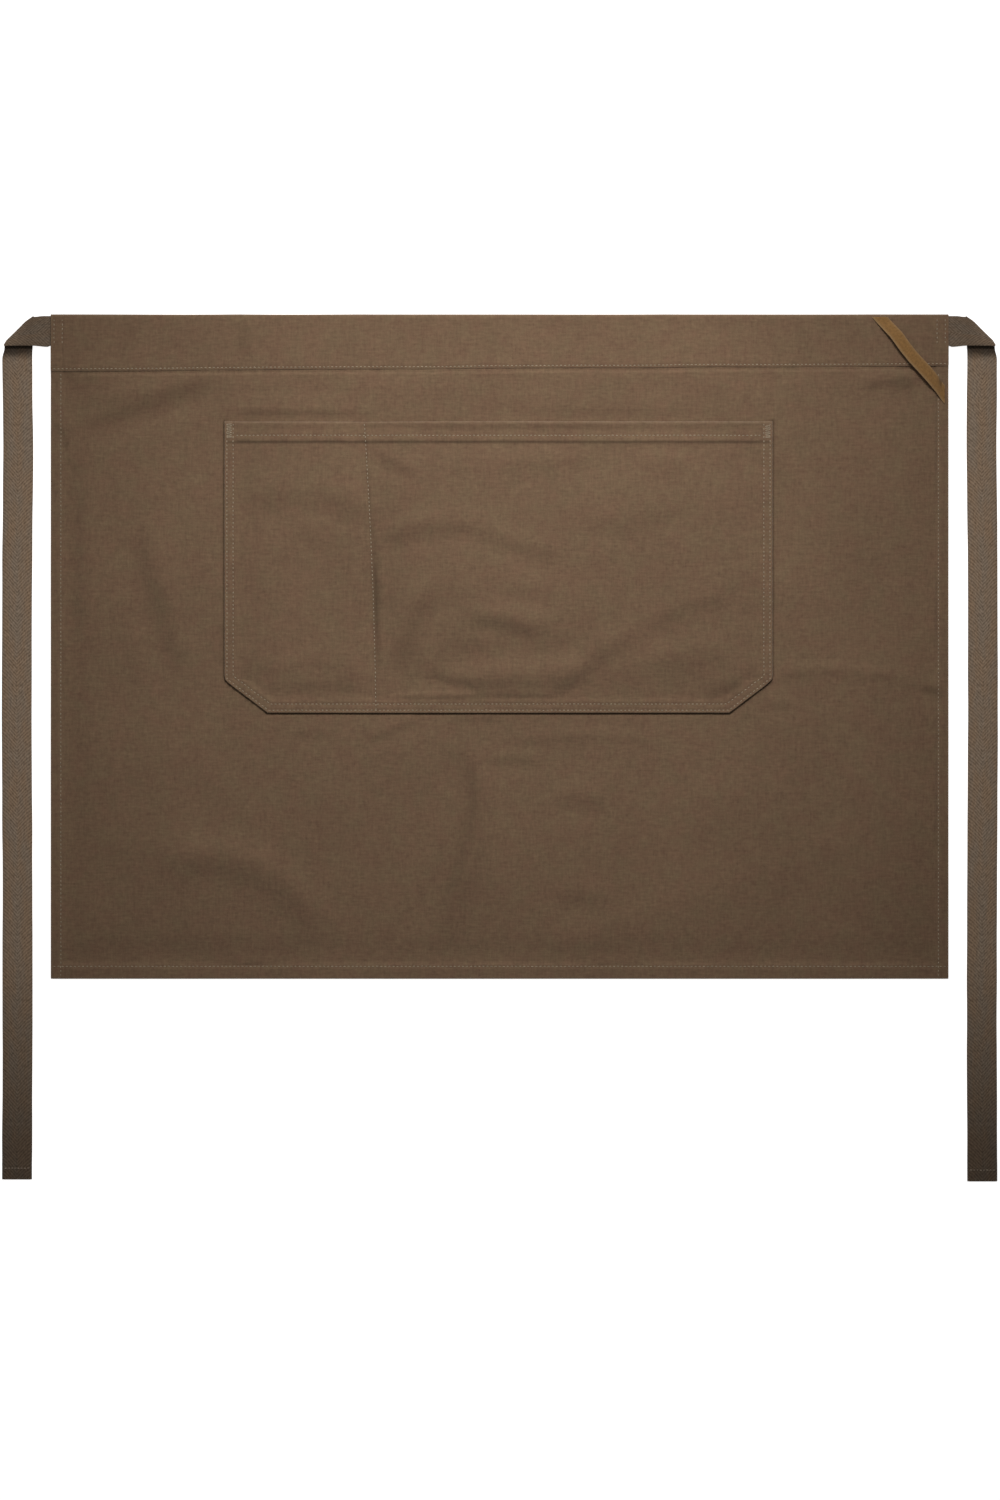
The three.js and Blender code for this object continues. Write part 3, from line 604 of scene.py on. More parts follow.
def make_panel(sizes):
    """The body of the apron: one layer of canvas with hems turned to its back."""
    coarse = 3.9 * MM
    left, right = from_both_ends(hem_insets(sizes, sizes.side_hem))
    at_pocket = [POCKET_LOW.x + d * MM for d in (-2, -0.6, 1)]
    at_pocket += [POCKET_HIGH.x + d * MM for d in (-1, 0.6, 2)]
    columns = ticks(left + at_pocket + right, FINEST_GRID, coarse)
    foot = [BOTTOM_Y + d for d in hem_insets(sizes, sizes.bottom_hem)]
    foot += [POCKET_LOW.y + d * MM for d in (-2, -0.6, 1)]
    field_top = TOP_Y - max(sizes.band_depth_left, sizes.band_depth_right) - sizes.band_fall
    fixed = ticks(foot + [POCKET_HIGH.y, field_top], FINEST_GRID, coarse)
    below = np.array([22, 17, 13, 9.5, 7, 5, 3.5, 2.4, 1.5, 0.8, 0.3, -0.5, -5, -11]) * MM
    x = np.broadcast_to(columns, (len(fixed) + len(below), len(columns)))
    y = np.concatenate([
        np.broadcast_to(fixed[:, None], (len(fixed), len(columns))),
        band_edge(sizes, x[0])[None, :] - below[:, None],
    ])
    upper = panel_top(sizes, x, y)
    lower = np.minimum(panel_faces(sizes, x, y)[1], upper - 0.5 * sizes.cloth)
    outer = np.minimum(HALF_WIDTH - np.abs(x), y - BOTTOM_Y)
    # Paler along the outer edges and the hem rows: partly wear, partly painted highlight on the rounded
    # edges.
    edge_wear_and_highlight = 0.9 * bump(outer, 1.2 * MM) + 0.35 * bump(inside_hems(sizes, x, y) + sizes.hem_row, 1.6 * MM)
    # Painted shade along the pocket's sewn outline, just outside it.
    painted_shade = np.clip(1.3 * bump(pocket_outside(sizes, x, y) + 0.2 * MM, 1.1 * MM), 0, 1)
    below = band_edge(sizes, x) - y
    # Painted shade along the waistband's lower edge, stronger near the ends.
    near_end = smooth((np.abs(x) - HALF_WIDTH + 55 * MM) / (25 * MM))
    faint = 0.20 + 0.22 * ripples(x, 60 * MM, 36) + 0.45 * near_end
    painted_shade = np.maximum(painted_shade, np.clip(faint, 0, 1) * bump(below, 1.1 * MM))
    marks = front_marks(edge_wear_and_highlight, np.maximum(painted_shade, crease_painted_shade(x, y)))
    return cloth_mesh("apron_body", grid_points(x, y, upper), grid_points(x, y, lower), EDGE_REACH, marks)


def make_waistband(sizes):
    """The waistband: one strip folded over the body's top edge, its lower edges turned in."""
    radius = BAND_TOP_Z / 2
    fold_y = TOP_Y - radius
    first_row, second_row = (around(inset, 1 * MM) for inset in BAND_END_ROWS)
    left, right = from_both_ends([EDGE_REACH, *first_row, *second_row, 16 * MM])
    columns = ticks(left + right, 1 * MM, 4.2 * MM)
    edge = band_edge(sizes, columns)
    ups = np.array([0.4, 1.0, 1.7, 2.4, 3.2, 4.5, 6.5, 8.5, 10, 12, 15, 18.5, 22, 25.5, 29, 32, 35]) * MM
    shares = (ups - ups[0]) / (ups[-1] - ups[0])
    face = fold_y - 3 * MM - edge - ups[0]
    front_y = edge + ups[0] + shares[:, None] * face
    front_z = band_top(sizes, np.broadcast_to(columns, front_y.shape), front_y)
    level = smooth((fold_y - front_y) / (9 * MM))
    front_z = 2 * radius + (front_z - 2 * radius) * level
    turns = np.linspace(np.pi / 2, -np.pi / 2, 9)
    sway = 0.25 * MM * ripples(columns, 90 * MM, 35)
    arc_y = fold_y + radius * np.cos(turns)[:, None] + 0 * columns - np.abs(sway)
    arc_z = radius + radius * np.sin(turns)[:, None] + 0 * columns
    back_y = front_y[::-1]
    back_z = np.zeros_like(back_y)
    y = np.concatenate([front_y, arc_y, back_y])
    outer_z = np.concatenate([front_z, arc_z, back_z])
    turned = smooth((9 * MM - (y - edge)) / (2 * MM))
    wall = sizes.cloth * (1 + 0.42 * turned)
    shrink = 1 - sizes.cloth / radius
    inner_arc_y = fold_y + (arc_y - fold_y) * shrink
    inner_arc_z = radius + (arc_z - radius) * shrink
    n = len(ups)
    inner_y = np.concatenate([front_y, inner_arc_y, back_y])
    inner_z = np.concatenate([front_z - wall[:n], inner_arc_z, wall[-n:]])
    x = np.broadcast_to(columns, y.shape)
    # Paler along the top fold, the lower edge and the ends: partly wear, partly painted highlight where the
    # edges face the lamp.
    edge_wear_and_highlight = 0.7 * bump(y - TOP_Y, 1.6 * MM) + 0.3 * bump(y - edge - 0.8 * MM, 1.0 * MM)
    edge_wear_and_highlight = edge_wear_and_highlight + 0.5 * bump(HALF_WIDTH - np.abs(x), 1.0 * MM)
    marks = front_marks(edge_wear_and_highlight, crease_painted_shade(x, y))
    outside = grid_points(x, y, outer_z)
    return cloth_mesh("band_strip", outside, grid_points(x, inner_y, inner_z), EDGE_REACH, marks)


def make_pocket(sizes):
    """The patch pocket: slack cloth with its edges turned in and sewn, and an open hemmed mouth."""
    outer, inner_row, rim = sizes.rim_row_outer, sizes.rim_row_inner, sizes.pocket_rim
    rim_lines = [EDGE_REACH, 1.3 * MM, *around(outer, 0.8 * MM), 5 * MM, *around(inner_row, 0.8 * MM)]
    rim_lines += [rim - 0.4 * MM, rim + 0.4 * MM, rim + 1.6 * MM, rim + 3.5 * MM]
    rim_lines = np.array(rim_lines)
    pen_shares = np.linspace(0, 1, 44)[1:-1]
    main_shares = np.linspace(0, 1, 124)[1:-1]
    seam_lines = np.array([-4, -2.4, -1.4, -0.7, 0, 0.7, 1.4, 2.4, 4]) * MM
    bottom, top = POCKET_LOW.y, POCKET_HIGH.y
    hem_foot = top - sizes.pocket_hem
    row = top - sizes.pocket_hem_row
    edges = [bottom + d for d in rim_lines]
    edges += [bottom + sizes.corner_up - 3 * MM, bottom + sizes.corner_up + 3 * MM]
    edges += [hem_foot - 4 * MM, hem_foot - 1.2 * MM, hem_foot - 0.3 * MM, hem_foot + 0.3 * MM]
    edges += [*around(row, 0.8 * MM), top - 9 * MM, top - 3 * MM, top - 1.6 * MM, top - EDGE_REACH]
    lines = ticks(edges, FINEST_GRID, 2.7 * MM)[:, None]
    left, right, slant = pocket_sides(sizes, lines)
    seam = divider_x(sizes, lines)
    left_in = left + rim_lines[-1] * slant
    right_in = right - rim_lines[-1] * slant
    x = np.concatenate([
        left + rim_lines * slant,
        left_in + (seam + seam_lines[0] - left_in) * pen_shares,
        seam + seam_lines,
        seam + seam_lines[-1] + (right_in - seam - seam_lines[-1]) * main_shares,
        right - rim_lines[::-1] * slant,
    ], axis=1)
    y = np.broadcast_to(lines, x.shape)
    upper, lower = pocket_faces(sizes, x, y)
    sag = 0.5 * MM * ripples(x, 110 * MM, 48) * smooth((y - hem_foot) / (15 * MM))
    edge_roll = 0.25 * MM * waves(x, y, 40 * MM, 49) * bump(pocket_inset(sizes, x, y), 2 * MM)
    y = y + sag * smooth(pocket_inset(sizes, x, y) / (30 * MM))
    upper = upper + np.abs(edge_roll)
    inset = pocket_inset(sizes, x, y)
    from_mouth = top - y
    # Paler along the edges and most of all along the mouth: partly wear, partly painted highlight where the
    # mouth's edge faces the lamp.
    edge_wear_and_highlight = 0.5 * bump(inset, 1.3 * MM) + 0.9 * bump(from_mouth - 0.5 * MM, 1.3 * MM)
    edge_wear_and_highlight = edge_wear_and_highlight + 0.12 * bump(inset - 5 * MM, 2.5 * MM)
    # Painted shade below the pocket hem's lower edge and along the divider seam.
    foot = bump(from_mouth - sizes.pocket_hem - 0.8 * MM, 1.0 * MM) * (inset > outer)
    # Painted shade beside the divider, darkest 150 mm below the mouth.
    divider_shade = bump(x - divider_x(sizes, y) - 2.6 * MM, 1.8 * MM) * bump(from_mouth - 150 * MM, 48 * MM)
    painted_shade = np.clip(0.75 * foot + 0.3 * bump(x - divider_x(sizes, y), 1.0 * MM) + 0.95 * divider_shade, 0, 1)
    marks = front_marks(edge_wear_and_highlight, np.maximum(painted_shade, crease_painted_shade(x, y)))
    return cloth_mesh("pocket_patch", grid_points(x, y, upper), grid_points(x, y, lower), EDGE_REACH, marks)


def eased(rows, field, at):
    """A table's column between its rows, evened out."""
    fine = np.linspace(0.0, 1.0, 401)
    values = np.interp(fine, [r[0] for r in rows], [getattr(r, field) for r in rows])
    width = 21
    window = np.hanning(width + 2)[1:-1]
    padded = np.pad(values, width // 2, mode="edge")
    return np.interp(at, fine, np.convolve(padded, window / window.sum(), mode="valid"))


def ribbon_places(points):
    """How far across and along a woven tape each point of its grid lies."""
    across = np.linalg.norm(np.diff(points, axis=1), axis=2)
    across = np.concatenate([np.zeros((len(points), 1)), np.cumsum(across, axis=1)], axis=1)
    along = np.linalg.norm(np.diff(points, axis=0), axis=2)
    along = np.concatenate([np.zeros((1, points.shape[1])), np.cumsum(along, axis=0)])
    return grid_points(across, along, 0.0)


def make_tie(sizes, side, end_y, name):
    """A tie: it leaves the waistband sideways, is folded over and runs down beside the body.

    side is -1 at the left and 1 at the right.
    """
    width = sizes.tape_width
    tape = sizes.tape
    inner_x = HALF_WIDTH + sizes.tie_gap
    outer_x = inner_x + width
    top_y = TOP_Y - sizes.tie_inset
    foot_y = top_y - width
    t = np.linspace(0.0, 1.0, 15)[None, :]
    selvedge = 1 - 0.35 * (bump(t, 0.05) + bump(t - 1, 0.05))
    half = tape / 2 * selvedge
    stub_z = SEWN_Z + tape / 2 + 0.1 * MM
    high_z = stub_z + sizes.tie_fold_rise
    fold_z = (high_z + tape / 2) / 2
    turn_radius = high_z - fold_z
    # The fold is an open roll that is pressed flat, and its two ends are drawn in and look round.
    bulge = 0.8 * MM
    drawn_in = bulge + 2.0 * MM * (bump(t, 0.10) + bump(t - 1, 0.12))
    fold_x = outer_x - t * width - drawn_in * np.sqrt(0.5)
    lowered = drawn_in * np.sqrt(0.5) * (1 - 0.9 * bump(t, 0.3) - 0.6 * bump(t - 1, 0.25))
    fold_y = foot_y + t * width - lowered
    level_y = foot_y + t * width

    share = np.linspace(0.0, 1.0, 22)[:-1, None]
    start_x = HALF_WIDTH - sizes.tie_sewn_in
    stub_x = start_x + share * (fold_x - start_x)
    outside = stub_x - HALF_WIDTH
    sagging = 0.9 * MM * bump(outside - 3 * MM, 8 * MM) * (1 - t) * smooth(outside / (2 * MM))
    stub_y = level_y + (fold_y - level_y) * smooth((share - 0.62) / 0.38) ** 1.5 - sagging
    rising = smooth((outside - 1.5 * MM) / (17 * MM))
    stub = grid_points(stub_x, stub_y, stub_z + sizes.tie_fold_rise * rising)
    stub_up = np.array([0.0, 0.0, 1.0]) + 0 * stub

    angle = np.linspace(0.0, np.pi, 13)[:, None]
    out = bulge * np.sin(angle) * np.sqrt(0.5)
    fold = grid_points(fold_x + out, fold_y + out, fold_z + turn_radius * np.cos(angle))
    aside = np.sin(angle) * np.sqrt(0.5) + 0 * t
    fold_up = grid_points(aside, aside, np.cos(angle))

    drop = foot_y - end_y - EDGE_REACH
    hem_top = end_y + sizes.tie_hem
    edges = [end_y + EDGE_REACH, *around(end_y + sizes.tie_hem - TIE_ROW, 0.8 * MM)]
    edges += [hem_top, hem_top + 0.6 * MM, hem_top + HANG_LIFT, foot_y - width / 2]
    tail = ticks(edges, 1.2 * MM, 4.2 * MM)[::-1, None]
    down = (foot_y - tail) / drop
    sway = eased(TIE_SWAY, "left" if side < 0 else "right", down) * width
    uneven = 0.12 * MM * ripples(tail, 33 * MM, 51 + side)
    hang_x = outer_x - t * width - sway + uneven * (2 * t - 1)
    hem = tail <= hem_top
    lift = np.where(hem, 0.0, tape * fall((tail - hem_top) / HANG_LIFT))
    fade = smooth((foot_y - tail) / (60 * MM)) * smooth((tail - hem_top) / (25 * MM))
    roll = 0.5 * MM * (1 + ripples(tail, 95 * MM, 54 + side)) * fade
    tilt = 0.5 * MM * ripples(tail, 60 * MM, 57 + side) * (t - 0.5) * fade
    cup = 0.25 * MM * np.cos(np.pi * t) ** 2 * fade
    stack = np.where(hem, 2.0, 1.0)
    middle_z = lift + stack * tape / 2 + roll + np.abs(tilt) + tilt + cup
    bridge_share = np.linspace(0.0, 1.0, 9)[1:-1, None]
    hang_y = tail + 0 * t
    first_y = hang_y[:1]
    bridge_y = fold_y + (first_y - fold_y) * bridge_share
    bridge_z = tape / 2 + (middle_z[:1] - tape / 2) * bridge_share
    settle = smooth(bridge_share)
    bridge = grid_points(fold_x + (hang_x[:1] - fold_x) * settle, bridge_y, bridge_z)
    hang = grid_points(hang_x, hang_y, middle_z)
    thick = np.concatenate([np.ones((len(stub) + len(fold) + len(bridge), 1)), stack])

    middle = np.concatenate([stub, fold, bridge, hang])
    turned = np.concatenate([bridge, hang])
    up = np.concatenate([stub_up, fold_up, np.array([0.0, 0.0, -1.0]) + 0 * turned])
    mirror = np.array([side, 1.0, 1.0])
    reach = up * (half * thick)[:, :, None]
    # The grid is turned for the right tie, so that both have their faces outwards.
    order = slice(None, None, 1) if side < 0 else slice(None, None, -1)
    far = ((middle + reach) * mirror)[:, order]
    near = ((middle - reach) * mirror)[:, order]
    place = ribbon_places(middle * mirror)
    edge = (bump(t, 0.06) + bump(t - 1, 0.06)) + 0 * middle[:, :, 0]
    # Painted shadow: the hanging tape is darkened in colour just below the fold, where the fold shades it.
    under = np.concatenate([np.zeros(len(stub) + len(fold)), np.ones(len(turned))])
    painted_fold_shadow = under[:, None] * smooth((middle[:, :, 1] - foot_y + 14 * MM) / (10 * MM))
    marks = {"tape_place": place[:, order], "edge_wear_and_highlight": edge[:, order], "painted_shade": painted_fold_shadow[:, order]}
    return cloth_mesh(name, far, near, 0.35 * MM, both_marks(marks))


def loop_middle(sizes, along):
    """The middle line of the hanging loop, and half of its slanting width."""
    top_end = np.array([HALF_WIDTH - sizes.loop_top_across, TOP_Y - sizes.loop_top_down])
    side_end = np.array([HALF_WIDTH - sizes.loop_side_across, TOP_Y - sizes.loop_side_down])
    way = (side_end - top_end) / np.hypot(*(side_end - top_end))
    beside = np.array([-way[1], way[0]])
    bow = eased(LOOP_ARCH, "bow", along)[:, None] * sizes.loop_width
    middle = top_end + (side_end - top_end) * along[:, None] + beside * bow
    top_half = np.array([sizes.loop_width / 2 / abs(way[1]), 0.0])
    side_half = np.array([0.0, sizes.loop_width / 2 / abs(way[0])])
    half = top_half + (side_half - top_half) * along[:, None]
    return middle, half


def make_loop(sizes):
    """The hanging loop: a narrow tan tape, caught in the top edge and in the side hem."""
    along = np.linspace(0.0, 1.0, 72)
    middle, half = loop_middle(sizes, along)
    t = np.linspace(-1.0, 1.0, 11)
    seat = BAND_TOP_Z + 0.15 * MM + (sizes.hem_stack - BAND_TOP_Z + 0.55 * MM) * along
    rise = eased(LOOP_ARCH, "rise", along) * sizes.loop_rise
    lean = 0.9 * MM * smooth(along / 0.3) * smooth((1 - along) / 0.25)
    flat = middle[:, None, :] + half[:, None, :] * t[None, :, None]
    low = (seat + rise)[:, None] + lean[:, None] * (0.5 - 0.5 * t) * along[:, None]
    low = low + 0.12 * MM * waves(flat[:, :, 0], flat[:, :, 1], 9 * MM, 61)
    tape = 0.75 * sizes.tape * (1 - 0.3 * (bump(t - 1, 0.15) + bump(t + 1, 0.15)))
    upper = grid_points(flat[:, :, 0], flat[:, :, 1], low + tape)
    lower = grid_points(flat[:, :, 0], flat[:, :, 1], low)
    length = np.linalg.norm(np.diff(middle, axis=0), axis=1)
    run = np.concatenate([[0.0], np.cumsum(length)])[:, None]
    place = grid_points((t + 1) / 2 * sizes.loop_width + 0 * run, run + 0 * t, 0.0)
    edge = bump(t + 1, 0.22) + 0.5 * bump(t - 1, 0.2) + 0 * run
    # Painted shade: a dark spot near the side end, where the tape passes over the hem.
    pressed = bump(along[:, None] - 0.92, 0.035) * bump(t - 1, 0.8)
    marks = {"tape_place": place[::-1], "edge_wear_and_highlight": edge[::-1], "painted_shade": pressed[::-1]}
    return cloth_mesh("loop_strip", upper[::-1], lower[::-1], 0.3 * MM, both_marks(marks))


def run_between(points, pitch):
    """Places and directions of stitches, one pitch apart along a line of points."""
    points = np.asarray(points, float)
    lengths = np.hypot(*np.diff(points, axis=0).T)
    run = np.concatenate([[0.0], np.cumsum(lengths)])
    count = max(1, int(round(run[-1] / pitch)))
    at = (np.arange(count) + 0.5) * run[-1] / count
    x = np.interp(at, run, points[:, 0])
    y = np.interp(at, run, points[:, 1])
    k = np.clip(np.searchsorted(run, at) - 1, 0, len(lengths) - 1)
    way = np.diff(points, axis=0)[k] / lengths[k][:, None]
    return np.stack([x, y], axis=1), way


def make_stitches(name, runs, height, length, thread, seed, under=False):
    """One mesh of all the stitches along several lines, each a short thread pulled into the cloth."""
    chance = np.random.default_rng(seed)
    rings = np.array([-1.0, -0.82, -0.45, 0.0, 0.45, 0.82, 1.0])
    girth = np.array([0.45, 0.85, 1.0, 1.0, 1.0, 0.85, 0.45])
    dip = np.array([-1.1, -0.25, 0.25, 0.42, 0.25, -0.25, -1.1])
    turns = np.linspace(0, 2 * np.pi, 7)[:-1]
    centres, ways = (np.concatenate(parts) for parts in zip(*runs))
    count = len(centres)
    lean = chance.normal(0.0, 0.05, count)
    ways = ways + np.stack([-ways[:, 1], ways[:, 0]], axis=1) * lean[:, None]
    beside = np.stack([-ways[:, 1], ways[:, 0]], axis=1)
    half = length / 2 * chance.uniform(0.92, 1.06, count)
    width = thread / 2 * chance.uniform(0.9, 1.1, count)
    centres = centres + beside * chance.normal(0.0, 0.06 * MM, count)[:, None]
    along = centres[:, None, :] + ways[:, None, :] * (half[:, None] * rings)[:, :, None]
    surface = height(along[:, :, 0], along[:, :, 1])
    middle = surface.mean(axis=1)
    surface = middle[:, None] + np.clip(surface - middle[:, None], -0.2 * MM, 0.2 * MM)
    sign = -1.0 if under else 1.0
    level = surface + sign * width[:, None] * dip
    spread = width[:, None, None] * girth[None, :, None] * np.cos(turns)
    raised = width[:, None, None] * girth[None, :, None] * np.sin(turns) * 0.8
    flat = along[:, :, None, :] + beside[:, None, None, :] * spread[:, :, :, None]
    above_table = np.maximum(level[:, :, None] + raised, TABLE_Z + 0.01 * MM)
    points = np.concatenate([flat, above_table[:, :, :, None]], axis=3).reshape(-1, 3)
    sides = len(turns)
    first = np.arange(count)[:, None, None] * len(rings) * sides
    here = first + np.arange(len(rings) - 1)[None, :, None] * sides + np.arange(sides)
    beyond = first + np.arange(len(rings) - 1)[None, :, None] * sides + np.roll(np.arange(sides), -1)
    walls = np.stack([here, here + sides, beyond + sides, beyond], axis=-1).reshape(-1, 4)
    start = (first[:, 0] + np.arange(sides)).reshape(-1, sides)
    end = (first[:, 0] + (len(rings) - 1) * sides + np.arange(sides)[::-1]).reshape(-1, sides)
    tint = np.repeat(chance.uniform(0.0, 1.0, count), len(rings) * sides)
    return finish_mesh(name, points, [walls, start, end], {"tint": tint})


def level_line(y, x0, x1):
    """A straight line of points across the apron."""
    x = np.linspace(x0, x1, 120)
    return np.stack([x, np.broadcast_to(y, x.shape)], axis=1)


def upright_line(x, y0, y1):
    """A straight line of points down the apron."""
    y = np.linspace(y0, y1, 60)
    return np.stack([np.broadcast_to(x, y.shape), y], axis=1)


def rim_line(sizes, inset):
    """The pocket's outline at an inset: down the left side, round the foot and up the right."""
    across, up = sizes.corner_across, sizes.corner_up
    slope = np.hypot(across, up)
    corner = inset * (slope - up) / across
    foot = inset * (slope - across) / up
    left, right = POCKET_LOW.x + inset, POCKET_HIGH.x - inset
    bottom, top = POCKET_LOW.y + inset, POCKET_HIGH.y - ROW_END
    shoulder = POCKET_LOW.y + up + corner
    return [
        (left, top),
        (left, shoulder),
        (POCKET_LOW.x + across + foot, bottom),
        (POCKET_HIGH.x - across - foot, bottom),
        (right, shoulder),
        (right, top),
    ]


def zigzag(x, y0, y1, count):
    """A bar tack: close stitches that run across a short bar."""
    y = np.linspace(y0, y1, count)
    centres = np.stack([np.full(count, x), y], axis=1)
    ways = np.stack([np.full(count, 1.0), np.where(np.arange(count) % 2 == 0, 0.12, -0.12)], axis=1)
    return centres, ways / np.linalg.norm(ways, axis=1)[:, None]


def new_material(name, rough, sheen):
    """A material with its shader and the shader's constant sockets set."""
    material = bpy.data.materials.new(name)
    material.use_nodes = True
    tree = material.node_tree
    shader = tree.nodes["Principled BSDF"]
    shader.inputs["Roughness"].default_value = rough
    shader.inputs["Sheen Weight"].default_value = sheen
    shader.inputs["Sheen Roughness"].default_value = 0.5
    shader.inputs["Specular IOR Level"].default_value = 0.18
    return material, Nodes(tree), shader


class Nodes:
    """Short words for the nodes of one material."""

    def __init__(self, tree):
        self.tree = tree

    def add(self, kind, settings=None, **inputs):
        """A node of a kind, with its settings and its sockets fed."""
        node = self.tree.nodes.new(kind)
        for name, value in (settings or {}).items():
            setattr(node, name, value)
        for name, value in inputs.items():
            self.feed(node.inputs[name.replace("_", " ")], value)
        return node

    def feed(self, socket, value):
        """Links a value to a socket, or sets it when it is constant."""
        if isinstance(value, bpy.types.NodeSocket):
            self.tree.links.new(value, socket)
        else:
            socket.default_value = value

    def link(self, shader, colour, rough, normal):
        """Gives the shader its colour, roughness and normal."""
        for name, made in (("Base Color", colour), ("Roughness", rough), ("Normal", normal)):
            self.tree.links.new(made, shader.inputs[name])

    def math(self, operation, first, second=0.0):
        node = self.tree.nodes.new("ShaderNodeMath")
        node.operation = operation
        self.feed(node.inputs[0], first)
        self.feed(node.inputs[1], second)
        return node.outputs[0]

    def total(self, first, share, second, other_share):
        """Two values, each times its share, added."""
        first = self.math("MULTIPLY", first, share)
        return self.math("ADD", first, self.math("MULTIPLY", second, other_share))

    def ribs(self, place, pitch):
        """Even ribs, from 0 to 1, one pitch apart."""
        wave = self.math("SINE", self.math("MULTIPLY", place, 2 * np.pi / pitch))
        return self.spread(wave, -1.0, 1.0)

    def noise(self, place, scale, detail=2.0, rough=0.5):
        node = self.add("ShaderNodeTexNoise", Vector=place, Scale=scale, Detail=detail, Roughness=rough)
        return node.outputs["Fac"]

    def spread(self, value, low, high, out_low=0.0, out_high=1.0):
        """A value brought from one range to another."""
        node = self.tree.nodes.new("ShaderNodeMapRange")
        names = ("Value", "From Min", "From Max", "To Min", "To Max")
        for name, part in zip(names, (value, low, high, out_low, out_high)):
            self.feed(node.inputs[name], part)
        return node.outputs["Result"]

    def blend(self, share, first, second, mode="MIX"):
        node = self.tree.nodes.new("ShaderNodeMix")
        node.data_type = "RGBA"
        node.blend_type = mode
        self.feed(node.inputs["Factor"], share)
        self.feed(node.inputs[6], first)
        self.feed(node.inputs[7], second)
        return node.outputs[2]

    def marked(self, colour, mark, share, paint):
        """A colour with another laid over it, where the mesh is marked."""
        return self.blend(self.math("MULTIPLY", self.attribute(mark), share), colour, paint)

    def darkened(self, colour, level):
        """A colour times a level of brightness."""
        grey = self.add("ShaderNodeCombineColor", Red=level, Green=level, Blue=level)
        return self.blend(1.0, colour, grey.outputs["Color"], "MULTIPLY")

    def attribute(self, name, output="Fac"):
        node = self.add("ShaderNodeAttribute", {"attribute_name": name})
        return node.outputs[output]

    def scaled(self, place, scale, turn=0.0):
        node = self.tree.nodes.new("ShaderNodeMapping")
        self.feed(node.inputs["Vector"], place)
        node.inputs["Scale"].default_value = scale
        node.inputs["Rotation"].default_value = (0.0, 0.0, turn)
        return node.outputs["Vector"]

    def stripes(self, place, per_metre, direction="X", distortion=0.0):
        node = self.add("ShaderNodeTexWave", {"bands_direction": direction}, Vector=place,
                        Scale=per_metre * 2 * np.pi / 20, Distortion=distortion, Detail=1.0)
        return node.outputs["Fac"]

    def bumped(self, height, strength, distance, normal=None):
        node = self.add("ShaderNodeBump", Height=height, Strength=strength, Distance=distance)
        if normal is not None:
            self.feed(node.inputs["Normal"], normal)
        return node.outputs["Normal"]


def shade(colour, factor=1.0):
    """A colour made darker or lighter, as the nodes want it, with an alpha of 1."""
    return (*(c * factor for c in colour[:3]), 1.0)


def canvas_material(colours, sizes):
    """Brown cotton canvas: a fine steep twill, mottled by its dye, pale along its folds from wear and
    painted highlight, and darkened by painted shade in its seams and creases.
    """
    material, n, shader = new_material("brown_canvas", 0.88, 0.25)
    place = n.add("ShaderNodeTexCoord").outputs["Object"]
    weave = 1.0 / sizes.weave
    twill = n.stripes(n.scaled(place, (1.0, 1.0, 1.0), 0.96), weave, "X", 1.2)
    filling = n.stripes(place, weave * 1.25, "Y", 0.8)
    warp = n.stripes(place, weave * 1.1, "X", 0.8)
    slub_x = n.noise(n.scaled(place, (110.0, 640.0, 90.0)), 1.0, 3.0, 0.6)
    slub_y = n.noise(n.scaled(place, (720.0, 95.0, 90.0)), 1.0, 3.0, 0.6)
    blotch = n.noise(place, 60.0, 3.0, 0.6)
    speck = n.noise(place, 340.0, 3.0, 0.7)
    cloud = n.noise(place, 9.0, 2.0)
    tone = n.total(n.spread(blotch, 0.35, 0.65), 0.6, n.spread(speck, 0.35, 0.65), 0.4)
    colour = n.blend(tone, shade(colours.canvas_red), shade(colours.canvas_olive))
    yarns = n.total(slub_x, 0.75, slub_y, 0.65)
    grain = n.total(speck, 0.95, twill, 0.3)
    level = n.spread(n.math("ADD", yarns, grain), 0.77, 1.87, 0.62, 1.38)
    patch = n.spread(n.math("ADD", blotch, cloud), 0.7, 1.3, 0.93, 1.07)
    colour = n.darkened(colour, n.math("MULTIPLY", level, patch))
    # Paler along marked edges: partly wear, partly painted highlight where folded edges face the lamp.
    patchy = n.spread(n.noise(place, 260.0, 2.0), 0.35, 0.6, 0.35, 1.0)
    edge_wear_and_highlight = n.math("MULTIPLY", n.attribute("edge_wear_and_highlight"), patchy)
    colour = n.blend(n.math("MULTIPLY", edge_wear_and_highlight, 0.42), colour, shade(colours.canvas_worn_and_highlit))
    # Painted shade in seams, along creases and beside the pocket and the waistband.
    colour = n.marked(colour, "painted_shade", 0.6, shade(colours.painted_shade_brown))
    rough = n.spread(n.math("ADD", blotch, twill), 0.4, 1.5, 0.94, 0.80)
    cross = n.total(filling, 0.35, warp, 0.3)
    normal = n.bumped(n.math("ADD", n.math("MULTIPLY", twill, 0.8), cross), 0.35, 0.12 * MM)
    normal = n.bumped(n.math("ADD", yarns, speck), 0.3, 0.35 * MM, normal)
    normal = n.bumped(blotch, 0.2, 0.5 * MM, normal)
    n.link(shader, colour, rough, normal)
    return material


